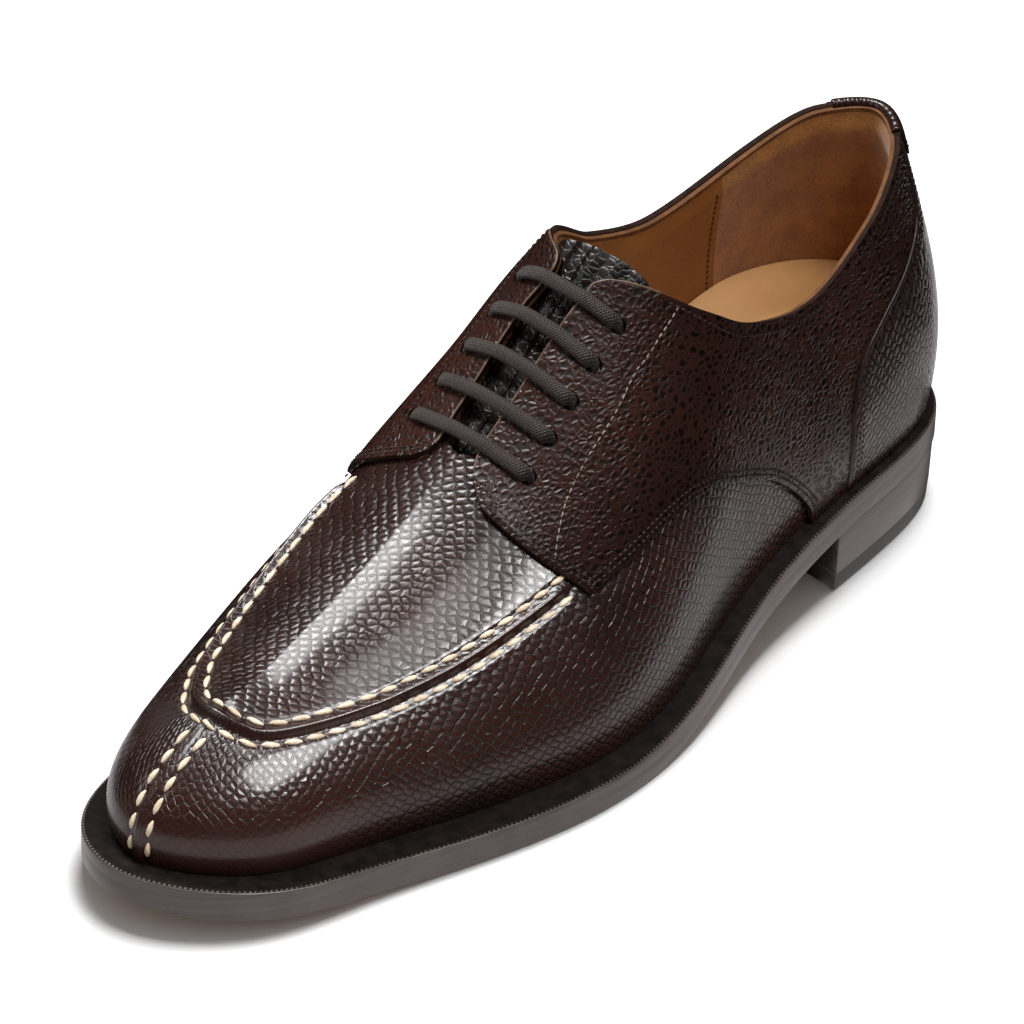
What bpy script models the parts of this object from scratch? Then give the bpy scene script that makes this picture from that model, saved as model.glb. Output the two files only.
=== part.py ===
"""Left split-toe derby shoe, modelled as an assembly of separate closed solids.

Shoe coordinates are millimetres: across (lateral is +), from_heel (back of the sole is 0) and
height above the floor. place() turns them into scene metres with the toe towards -Y.
A section of the upper is named by its share: 0 at the centre of the back, +1 at the toe going
round the lateral side and -1 at the toe going round the medial side. The level on a section is 0
at the foot of the upper and 1 at its top, by length of arc.
"""
import bmesh
import bpy
import numpy as np

MM = 0.001

# Named sizes in millimetres
SOLE_LENGTH = 302.0
HEEL_HEIGHT = 19.0
TOE_SPRING = 7.0
SOLE_THICK = 8.0
OUTSOLE_THICK = 4.6
LIFT_THICK = 5.4
HEEL_FRONT = 71.5
SHANK_START = 52.0
TREAD_START = 184.0
TREAD_END = 206.0
FIT_GAP = 0.3
FOOT_GAP = 0.55
WALL = 2.0
FOOT_CLEAR = 0.8
OVERLAY_GAP = 0.4
EDGE_SHARE = 0.001
QUARTER_THICK = 1.5
COUNTER_THICK = 1.9
RIDGE_HEIGHT = 1.3
RIDGE_HALF = 1.6
RIDGE_START = 0.625
SLOT_END = 0.655
TONGUE_DROP = 3.5
TONGUE_THICK = 1.8
LACE_WIDE = 4.2
LACE_THICK = 2.4

# Sole edge in plan: from_heel, across
SOLE_EDGE = [
    (0, -1), (12, 21.5), (40, 31.5), (80, 36), (115, 41.5), (150, 50.5), (185, 53),
    (220, 46), (255, 35), (283, 24.5), (302, -4), (291, -28), (264, -40), (228, -48),
    (195, -48), (155, -39.5), (115, -34), (80, -33), (40, -33), (12, -22.5),
]
TOE_ROW = 10

# Width of welt that shows beyond the upper: from_heel, lateral, medial
WELT_REVEAL = [(0, 5.1, 5.1), (60, 5.3, 5.1), (140, 6.2, 5.5), (215, 9.3, 6.5), (302, 7.4, 7.4)]

# Collar rim of the upper: share, from_heel, across, height
RIM = [
    (-0.49, 133, -6, 111.5), (-0.455, 127.5, -18.6, 112), (-0.42, 119, -24.6, 108),
    (-0.37, 103, -26.6, 98.3), (-0.29, 77, -27.5, 92), (-0.17, 43, -24, 99.5),
    (-0.08, 24, -15, 108), (0.0, 15, -3, 109.5), (0.08, 23.5, 9.5, 107), (0.17, 46, 18.8, 96),
    (0.29, 79, 23, 86.5), (0.37, 105, 23.5, 92), (0.42, 120, 19.5, 102), (0.455, 128, 9.5, 109.5),
    (0.49, 133, -6, 111.5),
]

# Ridge line from the throat to the toe: share, from_heel, across, height
SPINE = [
    (0.49, 133, -6, 111.5), (0.56, 150, -6, 97), (0.64, 174, -6, 78), (0.74, 205, -5.5, 62),
    (0.84, 232, -5.5, 52), (0.92, 250, -5, 47), (1.0, 258, -5, 45.5),
]

# Section shape: share, lean out at the foot, lean in at the top, pull at the foot, pull at the top
SECTION = [
    (-1.0, 14, 90, 0.56, 0.50), (-0.92, 18, 89, 0.56, 0.52), (-0.84, 20, 88, 0.57, 0.52),
    (-0.74, 16, 87, 0.55, 0.54), (-0.64, 11, 86, 0.53, 0.60), (-0.56, 8, 85, 0.50, 0.62),
    (-0.49, 8, 78, 0.43, 0.58), (-0.455, 8, 58, 0.42, 0.48), (-0.42, 8, 36, 0.41, 0.36),
    (-0.37, 8, 19, 0.40, 0.30), (-0.29, 7, 12, 0.38, 0.32), (-0.17, 8, 14, 0.38, 0.30),
    (-0.08, 12, 15, 0.40, 0.30), (0.0, 14, 15, 0.42, 0.30), (0.08, 12, 15, 0.40, 0.30),
    (0.17, 8, 14, 0.38, 0.30), (0.29, 7, 12, 0.38, 0.32), (0.37, 7, 19, 0.40, 0.30),
    (0.42, 7, 30, 0.41, 0.30), (0.455, 8, 50, 0.43, 0.32), (0.49, 10, 74, 0.46, 0.38),
    (0.56, 14, 83, 0.52, 0.39), (0.64, 18, 85, 0.54, 0.42), (0.74, 22, 87, 0.56, 0.46),
    (0.84, 22, 88, 0.56, 0.48), (0.92, 20, 89, 0.56, 0.50), (1.0, 14, 90, 0.56, 0.50),
]

# Edge of the lacing slot: share without its sign, distance from the spine
SLOT_LATERAL = [(0.0, 0), (0.44, 0), (0.465, 1.6), (0.485, 3.2), (0.505, 6.2), (0.53, 6.4), (0.625, 5.8),
                (0.642, 4.2), (SLOT_END, 0), (1.0, 0)]
SLOT_MEDIAL = [(0.0, 0), (0.41, 0), (0.44, 1.0), (0.465, 1.6), (0.485, 2.8), (0.505, 8.6), (0.53, 11.5),
               (0.595, 11.6), (0.625, 9.5), (0.642, 6.5), (SLOT_END, 0), (1.0, 0)]

# Raised apron seam: share, level
APRON = [
    (-1.0, 0.812), (-0.985, 0.791), (-0.97, 0.770), (-0.95, 0.741), (-0.93, 0.710), (-0.91, 0.672),
    (-0.89, 0.638), (-0.87, 0.61), (-0.83, 0.56), (-0.76, 0.545), (-0.70, 0.55), (-0.62, 0.555),
    (-0.5, 0.55), (0.0, 0.55), (0.5, 0.52), (0.61, 0.50), (0.70, 0.494), (0.77, 0.503), (0.81, 0.525),
    (0.85, 0.56), (0.88, 0.597), (0.91, 0.645), (0.93, 0.690), (0.95, 0.729), (0.97, 0.765),
    (0.985, 0.789), (1.0, 0.812),
]

# Front edge of the counter, both sides: level, share
COUNTER_EDGE = [
    (-0.1, 0.243), (0.18, 0.243), (0.35, 0.241), (0.44, 0.236), (0.52, 0.228), (0.58, 0.212),
    (0.645, 0.174), (0.69, 0.13), (0.75, 0.09), (0.85, 0.074), (1.1, 0.066),
]

# Lower edge of a quarter, from the welt up the arch to its front tip: share, level
QUARTER_LOW = [
    (0.22, -0.06), (0.285, -0.06), (0.294, 0.08), (0.313, 0.216), (0.338, 0.338), (0.365, 0.424),
    (0.399, 0.47), (0.441, 0.485), (0.469, 0.468), (0.501, 0.45), (0.553, 0.447), (0.597, 0.446),
]

# Front edge of a quarter, from its tip up to the rounded throat corner: level, share
QUARTER_FRONT = [(0.446, 0.597), (0.58, 0.625), (0.74, 0.648), (0.86, 0.657), (0.93, 0.652),
                 (1.0, 0.636), (1.1, 0.600)]

# The same two edges of the medial quarter, whose front lies further back
QUARTER_LOW_MEDIAL = QUARTER_LOW[:-2] + [(0.54, 0.447), (0.572, 0.446)]
QUARTER_FRONT_MEDIAL = [(0.446, 0.572), (0.536, 0.590), (0.663, 0.6134), (0.75, 0.627), (0.81, 0.6355),
                        (0.895, 0.640), (0.95, 0.632), (1.0, 0.620), (1.1, 0.594)]

# Top of the insole and its filler: from_heel, height
INSOLE_TOP = [(0, 52), (25, 56), (45, 57.5), (65, 55), (90, 48), (120, 37), (150, 25.5), (180, 14),
              (200, 10.5), (240, 11.3), (302, 17.2)]

# Shares of the sections that shape the upper, back to toe on each side
STATIONS = [
    0.0, 0.04, 0.08, 0.12, 0.17, 0.22, 0.255, 0.29, 0.32, 0.35, 0.38, 0.41, 0.44, 0.465, 0.485, 0.505, 0.53,
    0.56, 0.595, RIDGE_START, 0.642, SLOT_END, 0.68, 0.71, 0.745, 0.78, 0.81, 0.84, 0.865, 0.89, 0.91,
    0.93, 0.95, 0.97, 0.985, 1.0,
]

# Lace bars, top to bottom: share at the spine, then share and distance from the spine of the lateral
# eyelet and of the medial eyelet
LACE_BARS = [
    (0.515, 0.489, 16.0, 0.472, 14.0), (0.548, 0.524, 20.9, 0.496, 23.0),
    (0.581, 0.556, 21.8, 0.527, 26.0), (0.611, 0.584, 22.5, 0.556, 27.6),
    (0.640, 0.611, 23.5, 0.581, 29.8),
]

# Finishes: red, green, blue, roughness
FINISH = {
    "leather": (0.060, 0.030, 0.020, 0.38),
    "tongue_leather": (0.050, 0.026, 0.018, 0.42),
    "sole_edge": (0.045, 0.026, 0.020, 0.45),
    "welt": (0.035, 0.022, 0.017, 0.55),
    "heel": (0.038, 0.024, 0.019, 0.45),
    "rubber": (0.022, 0.020, 0.018, 0.70),
    "insole": (0.560, 0.330, 0.160, 0.55),
    "lace": (0.075, 0.045, 0.033, 0.65),
}


def ease(share):
    """Smooth step from 0 to 1."""
    held = np.clip(share, 0.0, 1.0)
    return held * held * (3.0 - 2.0 * held)


def track(table, share):
    """Read a table's columns at shares by a cubic that does not overshoot its rows."""
    rows = np.asarray(table, float)
    knots = rows[:, 0]
    values = rows[:, 1:]
    share = np.clip(np.atleast_1d(np.asarray(share, float)), knots[0], knots[-1])
    step = np.diff(knots)[:, None]
    slope = np.diff(values, axis=0) / step
    tangent = np.zeros_like(values)
    product = slope[:-1] * slope[1:]
    total = np.where(np.abs(slope[:-1] + slope[1:]) < 1e-9, 1.0, slope[:-1] + slope[1:])
    tangent[1:-1] = np.where(product > 0, 2.0 * product / total, 0.0)
    tangent[0] = slope[0]
    tangent[-1] = slope[-1]
    place_in = np.clip(np.searchsorted(knots, share, side="right") - 1, 0, len(knots) - 2)
    width = step[place_in]
    part = (share[:, None] - knots[place_in][:, None]) / width
    start = values[place_in]
    end = values[place_in + 1]
    rise = tangent[place_in] * width
    fall = tangent[place_in + 1] * width
    cube = part ** 3
    square = part ** 2
    return ((2 * cube - 3 * square + 1) * start + (cube - 2 * square + part) * rise
            + (3 * square - 2 * cube) * end + (cube - square) * fall)


class ClosedCurve:
    """Smooth closed curve through the rows of a table, walked by a parameter from 0 to 1."""

    def __init__(self, table):
        self.points = np.asarray(table, float)
        count = len(self.points)
        chord = np.linalg.norm(np.roll(self.points, -1, axis=0) - self.points, axis=1) ** 0.5
        self.knots = np.concatenate([[0.0], np.cumsum(chord)]) / chord.sum()
        gap = np.diff(self.knots)
        system = np.zeros((count, count))
        target = np.zeros_like(self.points)
        for here in range(count):
            before = (here - 1) % count
            after = (here + 1) % count
            system[here, before] += gap[before]
            system[here, here] += 2.0 * (gap[before] + gap[here])
            system[here, after] += gap[here]
            ahead = (self.points[after] - self.points[here]) / gap[here]
            behind = (self.points[here] - self.points[before]) / gap[before]
            target[here] = 6.0 * (ahead - behind)
        self.bend = np.linalg.solve(system, target)

    def at(self, parameter):
        """Return the curve's points at an array of parameters."""
        walk = np.mod(np.asarray(parameter, float), 1.0)
        count = len(self.points)
        here = np.clip(np.searchsorted(self.knots, walk, side="right") - 1, 0, count - 1)
        after = (here + 1) % count
        gap = (self.knots[here + 1] - self.knots[here])[:, None]
        back = (self.knots[here + 1] - walk)[:, None]
        ahead = (walk - self.knots[here])[:, None]
        bend_here = self.bend[here]
        bend_after = self.bend[after]
        curve = (bend_here * back ** 3 + bend_after * ahead ** 3) / (6.0 * gap)
        line = ((self.points[here] / gap - bend_here * gap / 6.0) * back
                + (self.points[after] / gap - bend_after * gap / 6.0) * ahead)
        return curve + line


EDGE = ClosedCurve(SOLE_EDGE)
EDGE_TOE = EDGE.knots[TOE_ROW]
EDGE_SAMPLE = EDGE.at(np.linspace(0.0, 1.0, 2001))
MIDDLE_FROM_HEEL = (EDGE_SAMPLE[:, 0].max() + EDGE_SAMPLE[:, 0].min()) / 2.0
MIDDLE_ACROSS = (EDGE_SAMPLE[:, 1].max() + EDGE_SAMPLE[:, 1].min()) / 2.0


def place(points):
    """Turn shoe coordinates (across, from_heel, height) into scene metres."""
    points = np.asarray(points, float)
    return np.stack([points[..., 0] - MIDDLE_ACROSS, MIDDLE_FROM_HEEL - points[..., 1],
                     points[..., 2]], axis=-1) * MM


def underside(from_heel):
    """Height of the outsole's underside: heel, shank, flat tread and toe spring."""
    from_heel = np.asarray(from_heel, float)
    shank = ease((from_heel - SHANK_START) / (TREAD_START - SHANK_START))
    spring = np.clip((from_heel - TREAD_END) / (SOLE_LENGTH - TREAD_END), 0.0, 1.0)
    return HEEL_HEIGHT * (1.0 - shank) + TOE_SPRING * spring ** 2


def edge_walk(share):
    """Parameter of the sole's edge at a section's share."""
    share = np.asarray(share, float)
    return np.where(share >= 0, share * EDGE_TOE, share * (1.0 - EDGE_TOE))


def inset_edge(walk, reach):
    """Sole edge moved inwards by its welt's width times reach[0] plus reach[1], and its outward way."""
    step = 1e-4
    spot = EDGE.at(walk)
    way = EDGE.at(walk + step) - EDGE.at(walk - step)
    inward = np.stack([way[:, 1], -way[:, 0]], axis=1)
    inward /= np.linalg.norm(inward, axis=1)[:, None]
    reveal = track(WELT_REVEAL, spot[:, 0])
    lateral = 0.5 * (1.0 + np.tanh(spot[:, 1] / 8.0))
    width = reveal[:, 0] * lateral + reveal[:, 1] * (1.0 - lateral)
    moved = spot + inward * (width * reach[0] + reach[1])[:, None]
    return moved, -inward


def section_ends(share):
    """Foot and top points of sections, with the outward way at the foot."""
    moved, outward = inset_edge(edge_walk(share), (1.0, 0.0))
    foot = np.stack([moved[:, 1], moved[:, 0], underside(moved[:, 0]) + SOLE_THICK + FOOT_GAP], axis=1)
    rim = track(RIM, share)
    spine = track(SPINE, np.abs(share))
    chosen = np.where((np.abs(share) < SPINE[0][0])[:, None], rim, spine)
    top = chosen[:, [1, 0, 2]]
    way = np.stack([outward[:, 1], outward[:, 0], np.zeros(len(share))], axis=1)
    return foot, top, way


def spine_slope(share):
    """Rise of the spine for each millimetre towards the toe."""
    step = 0.01
    along = np.maximum(np.abs(share), SPINE[0][0] + step)
    behind = track(SPINE, along - step)
    ahead = track(SPINE, along + step)
    run = np.maximum(ahead[:, 0] - behind[:, 0], 1e-6)
    return ((ahead[:, 2] - behind[:, 2]) / run)[:, None]


def sections(share, count=61):
    """Cubic sections of the last from the foot to the top, an array (share, count, 3)."""
    share = np.atleast_1d(np.asarray(share, float))
    foot, top, outward = section_ends(share)
    shape = track(SECTION, share)
    foot_lean = np.radians(shape[:, 0])[:, None]
    top_lean = np.radians(shape[:, 1])[:, None]
    up = np.array([0.0, 0.0, 1.0])
    flat = (top - foot) * np.array([1.0, 1.0, 0.0])
    flat /= np.maximum(np.linalg.norm(flat, axis=1), 1e-6)[:, None]
    over = ease((shape[:, 1] - 20.0) / 50.0)[:, None]
    inward = flat * over - outward * (1.0 - over)
    inward[:, 2:3] += inward[:, 1:2] * spine_slope(share) * over
    inward /= np.linalg.norm(inward, axis=1)[:, None]
    foot_way = np.cos(foot_lean) * up + np.sin(foot_lean) * outward
    top_way = np.cos(top_lean) * up + np.sin(top_lean) * inward
    rise = (top[:, 2] - foot[:, 2])[:, None]
    reach = np.linalg.norm(top - foot, axis=1)[:, None]
    low = (foot + foot_way * shape[:, 2:3] * rise)[:, None]
    high = (top - top_way * shape[:, 3:4] * reach)[:, None]
    walk = np.linspace(0.0, 1.0, count)[None, :, None]
    rest = 1.0 - walk
    return (rest ** 3 * foot[:, None] + 3 * rest ** 2 * walk * low
            + 3 * rest * walk ** 2 * high + walk ** 3 * top[:, None])


def on_sections(share, level):
    """Points at a level of each section by length of arc, run on straight beyond 0 and 1."""
    curves = sections(share)
    legs = np.linalg.norm(np.diff(curves, axis=1), axis=2)
    arc = np.concatenate([np.zeros((len(curves), 1)), np.cumsum(legs, axis=1)], axis=1)
    points = np.empty((len(curves), 3))
    for row, curve in enumerate(curves):
        want = level[row] * arc[row, -1]
        held = min(max(want, 0.0), arc[row, -1])
        points[row] = [np.interp(held, arc[row], curve[:, axis]) for axis in range(3)]
        start = (curve[1] - curve[0]) / legs[row, 0]
        end = (curve[-1] - curve[-2]) / legs[row, -1]
        points[row] += start * min(want, 0.0) + end * max(want - arc[row, -1], 0.0)
    return points, arc[:, -1]


def surface(share, level, offset=0.0):
    """Points of the last's outer surface moved outwards by an offset."""
    share = np.asarray(share, float)
    level = np.asarray(level, float)
    flat_share = share.ravel()
    flat_level = level.ravel()
    along = 0.004
    points, length = on_sections(flat_share, flat_level)
    before = np.clip(flat_share - along, -1.0, 1.0)
    after = np.clip(flat_share + along, -1.0, 1.0)
    turn = on_sections(after, flat_level)[0] - on_sections(before, flat_level)[0]
    climb = on_sections(flat_share, flat_level + along)[0] - on_sections(flat_share, flat_level - along)[0]
    normal = np.cross(turn, climb)
    normal /= np.maximum(np.linalg.norm(normal, axis=1), 1e-9)[:, None]
    moved = points + normal * np.asarray(offset, float).ravel()[:, None] if np.ndim(offset) else (
        points + normal * offset)
    return moved.reshape(share.shape + (3,))


def section_length(share):
    """Length of arc of each section."""
    share = np.atleast_1d(np.asarray(share, float))
    return on_sections(share, np.zeros(len(share)))[1]


def slot_level(share):
    """Top level of the upper at a section, lower where the lacing slot is open."""
    share = np.atleast_1d(np.asarray(share, float))
    lateral = np.asarray(SLOT_LATERAL, float)
    medial = np.asarray(SLOT_MEDIAL, float)
    back_off = np.where(share >= 0, np.interp(share, lateral[:, 0], lateral[:, 1]),
                        np.interp(-share, medial[:, 0], medial[:, 1]))
    return 1.0 - back_off / section_length(share)


def signed_stations(last_share):
    """Stations of both sides up to a share, medial toe to lateral toe."""
    half = [share for share in STATIONS if share <= last_share + 1e-9]
    return np.array([-share for share in reversed(half[1:])] + half)


def new_object(name, mesh_data, finish):
    """Make an object with its own material from a bmesh."""
    bmesh.ops.remove_doubles(mesh_data, verts=mesh_data.verts, dist=0.00002)
    bmesh.ops.recalc_face_normals(mesh_data, faces=mesh_data.faces)
    mesh = bpy.data.meshes.new(name)
    mesh_data.to_mesh(mesh)
    mesh_data.free()
    thing = bpy.data.objects.new(name, mesh)
    bpy.context.scene.collection.objects.link(thing)
    red, green, blue, roughness = FINISH[finish]
    material = bpy.data.materials.new(name + "_finish")
    material.use_nodes = True
    shader = material.node_tree.nodes["Principled BSDF"]
    shader.inputs["Base Color"].default_value = (red, green, blue, 1.0)
    shader.inputs["Roughness"].default_value = roughness
    shader.inputs["Metallic"].default_value = 0.0
    mesh.materials.append(material)
    for face in mesh.polygons:
        face.use_smooth = True
    return thing


def add_grid(mesh_data, points):
    """Add the vertices of an array (rows, columns, 3) given in scene metres."""
    return [[mesh_data.verts.new(tuple(spot)) for spot in row] for row in points]


def add_face(mesh_data, corners):
    """Add a face, leaving out a repeated corner."""
    kept = []
    for corner in corners:
        if corner not in kept:
            kept.append(corner)
    if len(kept) > 2:
        mesh_data.faces.new(kept)


def add_split(mesh_data, corners):
    """Add a four-cornered face as two triangles that meet from its first to its third corner."""
    add_face(mesh_data, corners[:3])
    add_face(mesh_data, [corners[0], corners[2], corners[3]])


def thick_grid(mesh_data, outer, inner):
    """Close the space between two grids of the same size with faces."""
    top = add_grid(mesh_data, outer)
    low = add_grid(mesh_data, inner)
    rows = len(top)
    columns = len(top[0])
    for row in range(rows - 1):
        for column in range(columns - 1):
            for grid in (top, low):
                add_split(mesh_data, [grid[row][column], grid[row][column + 1],
                                      grid[row + 1][column + 1], grid[row + 1][column]])
    for row in range(rows - 1):
        for column in (0, columns - 1):
            add_face(mesh_data, [top[row][column], top[row + 1][column],
                                 low[row + 1][column], low[row][column]])
    for column in range(columns - 1):
        for row in (0, rows - 1):
            add_face(mesh_data, [top[row][column], top[row][column + 1],
                                 low[row][column + 1], low[row][column]])


def upper_levels(share):
    """Levels of the upper's rows at each section, gathered at the raised apron seam."""
    length = section_length(share)
    ridge = track(APRON, share)[:, 0]
    crown = slot_level(share)
    half = RIDGE_HALF / length
    below = [0.0, 0.16, 0.36, 0.58, 0.80]
    above = [0.22, 0.48, 0.76, 1.0]
    levels = [(ridge - 2.0 * half) * part for part in below]
    levels += [ridge - 2.0 * half, ridge - 0.7 * half, ridge + 0.7 * half, ridge + 2.0 * half]
    levels += [ridge + 2.0 * half + (crown - ridge - 2.0 * half) * part for part in above]
    return np.stack(levels, axis=1)


RIDGE_ROWS = (6, 7)


def ridge_lift(share):
    """Height of the apron seam at each section, faded out under the quarters."""
    return RIDGE_HEIGHT * ease((np.abs(share) - RIDGE_START) / 0.015)


def make_upper():
    """Hollow upper with the raised apron seam, open at collar, lacing slot and foot."""
    share = signed_stations(1.0)
    levels = upper_levels(share)
    shares = np.repeat(share[:, None], levels.shape[1], axis=1)
    lift = np.zeros_like(levels)
    for row in RIDGE_ROWS:
        lift[:, row] = ridge_lift(share)
    outer = surface(shares, levels, lift)
    inner = surface(shares, levels, np.full(levels.shape, -WALL))
    for grid in (outer, inner):
        toe = (grid[0] + grid[-1]) / 2.0
        grid[0] = toe
        grid[-1] = toe
        for index, value in enumerate(share):
            if value <= -SLOT_END + 1e-9:
                twin = len(share) - 1 - index
                meet = (grid[index, -1] + grid[twin, -1]) / 2.0
                grid[index, -1] = meet
                grid[twin, -1] = meet
    mesh_data = bmesh.new()
    outer_rows = add_grid(mesh_data, place(outer))
    inner_rows = add_grid(mesh_data, place(inner))
    last = levels.shape[1] - 1
    for index in range(len(share) - 1):
        for level in range(last):
            for grid in (outer_rows, inner_rows):
                add_split(mesh_data, [grid[index][level], grid[index + 1][level],
                                      grid[index + 1][level + 1], grid[index][level + 1]])
        add_face(mesh_data, [outer_rows[index][0], outer_rows[index + 1][0],
                             inner_rows[index + 1][0], inner_rows[index][0]])
        if max(abs(share[index]), abs(share[index + 1])) <= SLOT_END + 1e-9:
            add_face(mesh_data, [outer_rows[index][last], outer_rows[index + 1][last],
                                 inner_rows[index + 1][last], inner_rows[index][last]])
    return new_object("upper", mesh_data, "leather")


def overlay_form(name, share, inner, outer):
    """Larger form of an overlay: the upper's own sections between two offsets, clear of the welt."""
    levels = upper_levels(share)
    levels[:, 0] += FOOT_CLEAR / section_length(share)
    shares = np.repeat(share[:, None], levels.shape[1], axis=1)
    mesh_data = bmesh.new()
    thick_grid(mesh_data, place(surface(shares, levels, np.full(levels.shape, outer))),
               place(surface(shares, levels, np.full(levels.shape, inner))))
    return new_object(name, mesh_data, "leather")


def cut_to(thing, cutter):
    """Keep the part of a form that lies in a cutter."""
    cutter.hide_render = True
    cutter.display_type = "WIRE"
    keep = thing.modifiers.new("outline", "BOOLEAN")
    keep.operation = "INTERSECT"
    keep.solver = "EXACT"
    keep.object = cutter
    bpy.context.view_layer.objects.active = thing
    bpy.ops.object.modifier_apply(modifier=keep.name)
    spare = cutter.data
    bpy.data.objects.remove(cutter)
    bpy.data.meshes.remove(spare)


def patch_cutter(name, shares, levels):
    """Thick cutter over a patch given by arrays of shares and levels."""
    mesh_data = bmesh.new()
    thick_grid(mesh_data, place(surface(shares, levels, np.full(shares.shape, 5.0))),
               place(surface(shares, levels, np.full(shares.shape, -1.2))))
    return new_object(name, mesh_data, "leather")


def make_counter():
    """Counter over the back of the upper, cut from the upper's own sections."""
    count_across = 21
    levels = np.array([-0.08, 0.06, 0.18, 0.27, 0.35, 0.40, 0.44, 0.48, 0.52, 0.55, 0.58, 0.615,
                       0.645, 0.67, 0.69, 0.72, 0.75, 0.80, 0.85, 0.95, 1.08])
    reach = track(COUNTER_EDGE, levels)[:, 0] - EDGE_SHARE
    walk = np.linspace(-1.0, 1.0, count_across)
    shares = reach[:, None] * walk[None, :]
    cutter = patch_cutter("counter_cutter", shares, np.repeat(levels[:, None], count_across, axis=1))
    form = overlay_form("counter", signed_stations(0.29), OVERLAY_GAP, OVERLAY_GAP + COUNTER_THICK)
    cut_to(form, cutter)
    return form


def quarter_cutter(name, side):
    """Cutter for a quarter: back, arch and front edges, clear above the collar and facing."""
    rows = 25
    columns = 33
    low = np.asarray(QUARTER_LOW if side > 0 else QUARTER_LOW_MEDIAL, float)
    front = QUARTER_FRONT if side > 0 else QUARTER_FRONT_MEDIAL
    leg = np.concatenate([[0.0], np.cumsum(np.hypot(np.diff(low[:, 0]) * 3.0, np.diff(low[:, 1])))])
    leg /= leg[-1]
    walk = np.linspace(0.0, 1.0, columns)
    bottom = np.stack([np.interp(walk, leg, low[:, 0]), np.interp(walk, leg, low[:, 1])], axis=1)
    climb = np.linspace(0.0, 1.0, rows)
    front_level = front[0][0] + climb * (front[-1][0] - front[0][0])
    front_share = track(front, front_level)[:, 0]
    back_level = -0.06 + climb * 1.14
    back_share = track(COUNTER_EDGE, back_level)[:, 0] + EDGE_SHARE
    bottom[0] = (back_share[0], back_level[0])
    top_share = back_share[-1] + (front_share[-1] - back_share[-1]) * walk
    top_level = back_level[-1] + (front_level[-1] - back_level[-1]) * walk
    shares = np.zeros((rows, columns))
    levels = np.zeros((rows, columns))
    edges = ((shares, bottom[:, 0], top_share, back_share, front_share),
             (levels, bottom[:, 1], top_level, back_level, front_level))
    for target, low_edge, top_edge, back_edge, front_edge in edges:
        across = (1.0 - walk)[None, :] * back_edge[:, None] + walk[None, :] * front_edge[:, None]
        along = (1.0 - climb)[:, None] * low_edge[None, :] + climb[:, None] * top_edge[None, :]
        corner = ((1.0 - climb)[:, None] * ((1.0 - walk) * low_edge[0] + walk * low_edge[-1])[None, :]
                  + climb[:, None] * ((1.0 - walk) * top_edge[0] + walk * top_edge[-1])[None, :])
        target += across + along - corner
    return patch_cutter(name, shares * side, levels)


def make_quarter(name, side):
    """Quarter of one side, cut from the upper's own sections."""
    share = np.sort([side * value for value in STATIONS if 0.03 < value < 0.69])
    form = overlay_form(name, share, OVERLAY_GAP, OVERLAY_GAP + QUARTER_THICK)
    cut_to(form, quarter_cutter(name + "_cutter", side))
    return form


def make_tongue():
    """Tongue below the lacing slot, one curved sheet from side to side."""
    shares = [0.468, 0.485, 0.505, 0.53, 0.56, 0.595, 0.63, 0.66, 0.69, 0.72]
    reach = np.interp(shares, [0.468, 0.485, 0.505, 0.53, 0.56, 0.72], [9.0, 13.0, 18.0, 25.0, 30.0, 26.0])
    parts = [1.0, 0.75, 0.5, 0.25, 0.0]
    outer = []
    inner = []
    for share, wide in zip(shares, reach):
        for grid, offset in ((outer, -TONGUE_DROP), (inner, -TONGUE_DROP - TONGUE_THICK)):
            row = []
            for side, order in ((1.0, parts), (-1.0, parts[::-1])):
                values = np.full(len(order), side * share)
                length = section_length(values)
                level = 1.0 - np.array(order) * wide / length
                row.append(surface(values, level, np.full(len(order), offset)))
            middle = (row[0][-1] + row[1][0]) / 2.0
            grid.append(np.concatenate([row[0][:-1], middle[None, :], row[1][1:]]))
    mesh_data = bmesh.new()
    thick_grid(mesh_data, place(outer), place(inner))
    return new_object("tongue", mesh_data, "tongue_leather")


def make_lace_bar(name, bar):
    """One straight bar of the lace, from eyelet to eyelet over the facings."""
    ring = 8
    lift = OVERLAY_GAP + QUARTER_THICK + FIT_GAP + LACE_THICK / 2.0 + 0.7
    share = bar[0]
    halves = []
    for side, eyelet, reach in ((1.0, bar[1], bar[2]), (-1.0, bar[3], bar[4])):
        away = np.linspace(reach - 0.7, 7.0, 2 if reach < 16.0 else 5)[::int(side)]
        value = side * (share + (eyelet - share) * away / reach)
        level = 1.0 - away / section_length(value)
        halves.append(surface(value, level, np.full(len(away), lift)))
    path = np.concatenate(halves)
    count = len(path)
    crown = path[count // 2]
    way = np.gradient(path, axis=0)
    way /= np.linalg.norm(way, axis=1)[:, None]
    beyond = np.array([share + 0.01])
    ahead = surface(-beyond, 1.0 - 7.0 / section_length(-beyond), np.array([lift]))[0] - crown
    side_way = ahead - way * (way @ ahead)[:, None]
    side_way /= np.linalg.norm(side_way, axis=1)[:, None]
    up_way = np.cross(way, side_way)
    angle = np.arange(ring) * 2.0 * np.pi / ring
    rings = (path[:, None] + side_way[:, None] * (np.cos(angle) * LACE_WIDE / 2.0)[None, :, None]
             + up_way[:, None] * (np.sin(angle) * LACE_THICK / 2.0)[None, :, None])
    mesh_data = bmesh.new()
    loops = add_grid(mesh_data, place(rings))
    for row in range(count - 1):
        for spot in range(ring):
            nearby = (spot + 1) % ring
            mesh_data.faces.new([loops[row][spot], loops[row][nearby],
                                 loops[row + 1][nearby], loops[row + 1][spot]])
    mesh_data.faces.new(loops[0])
    mesh_data.faces.new(loops[-1])
    return new_object(name, mesh_data, "lace")


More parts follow.
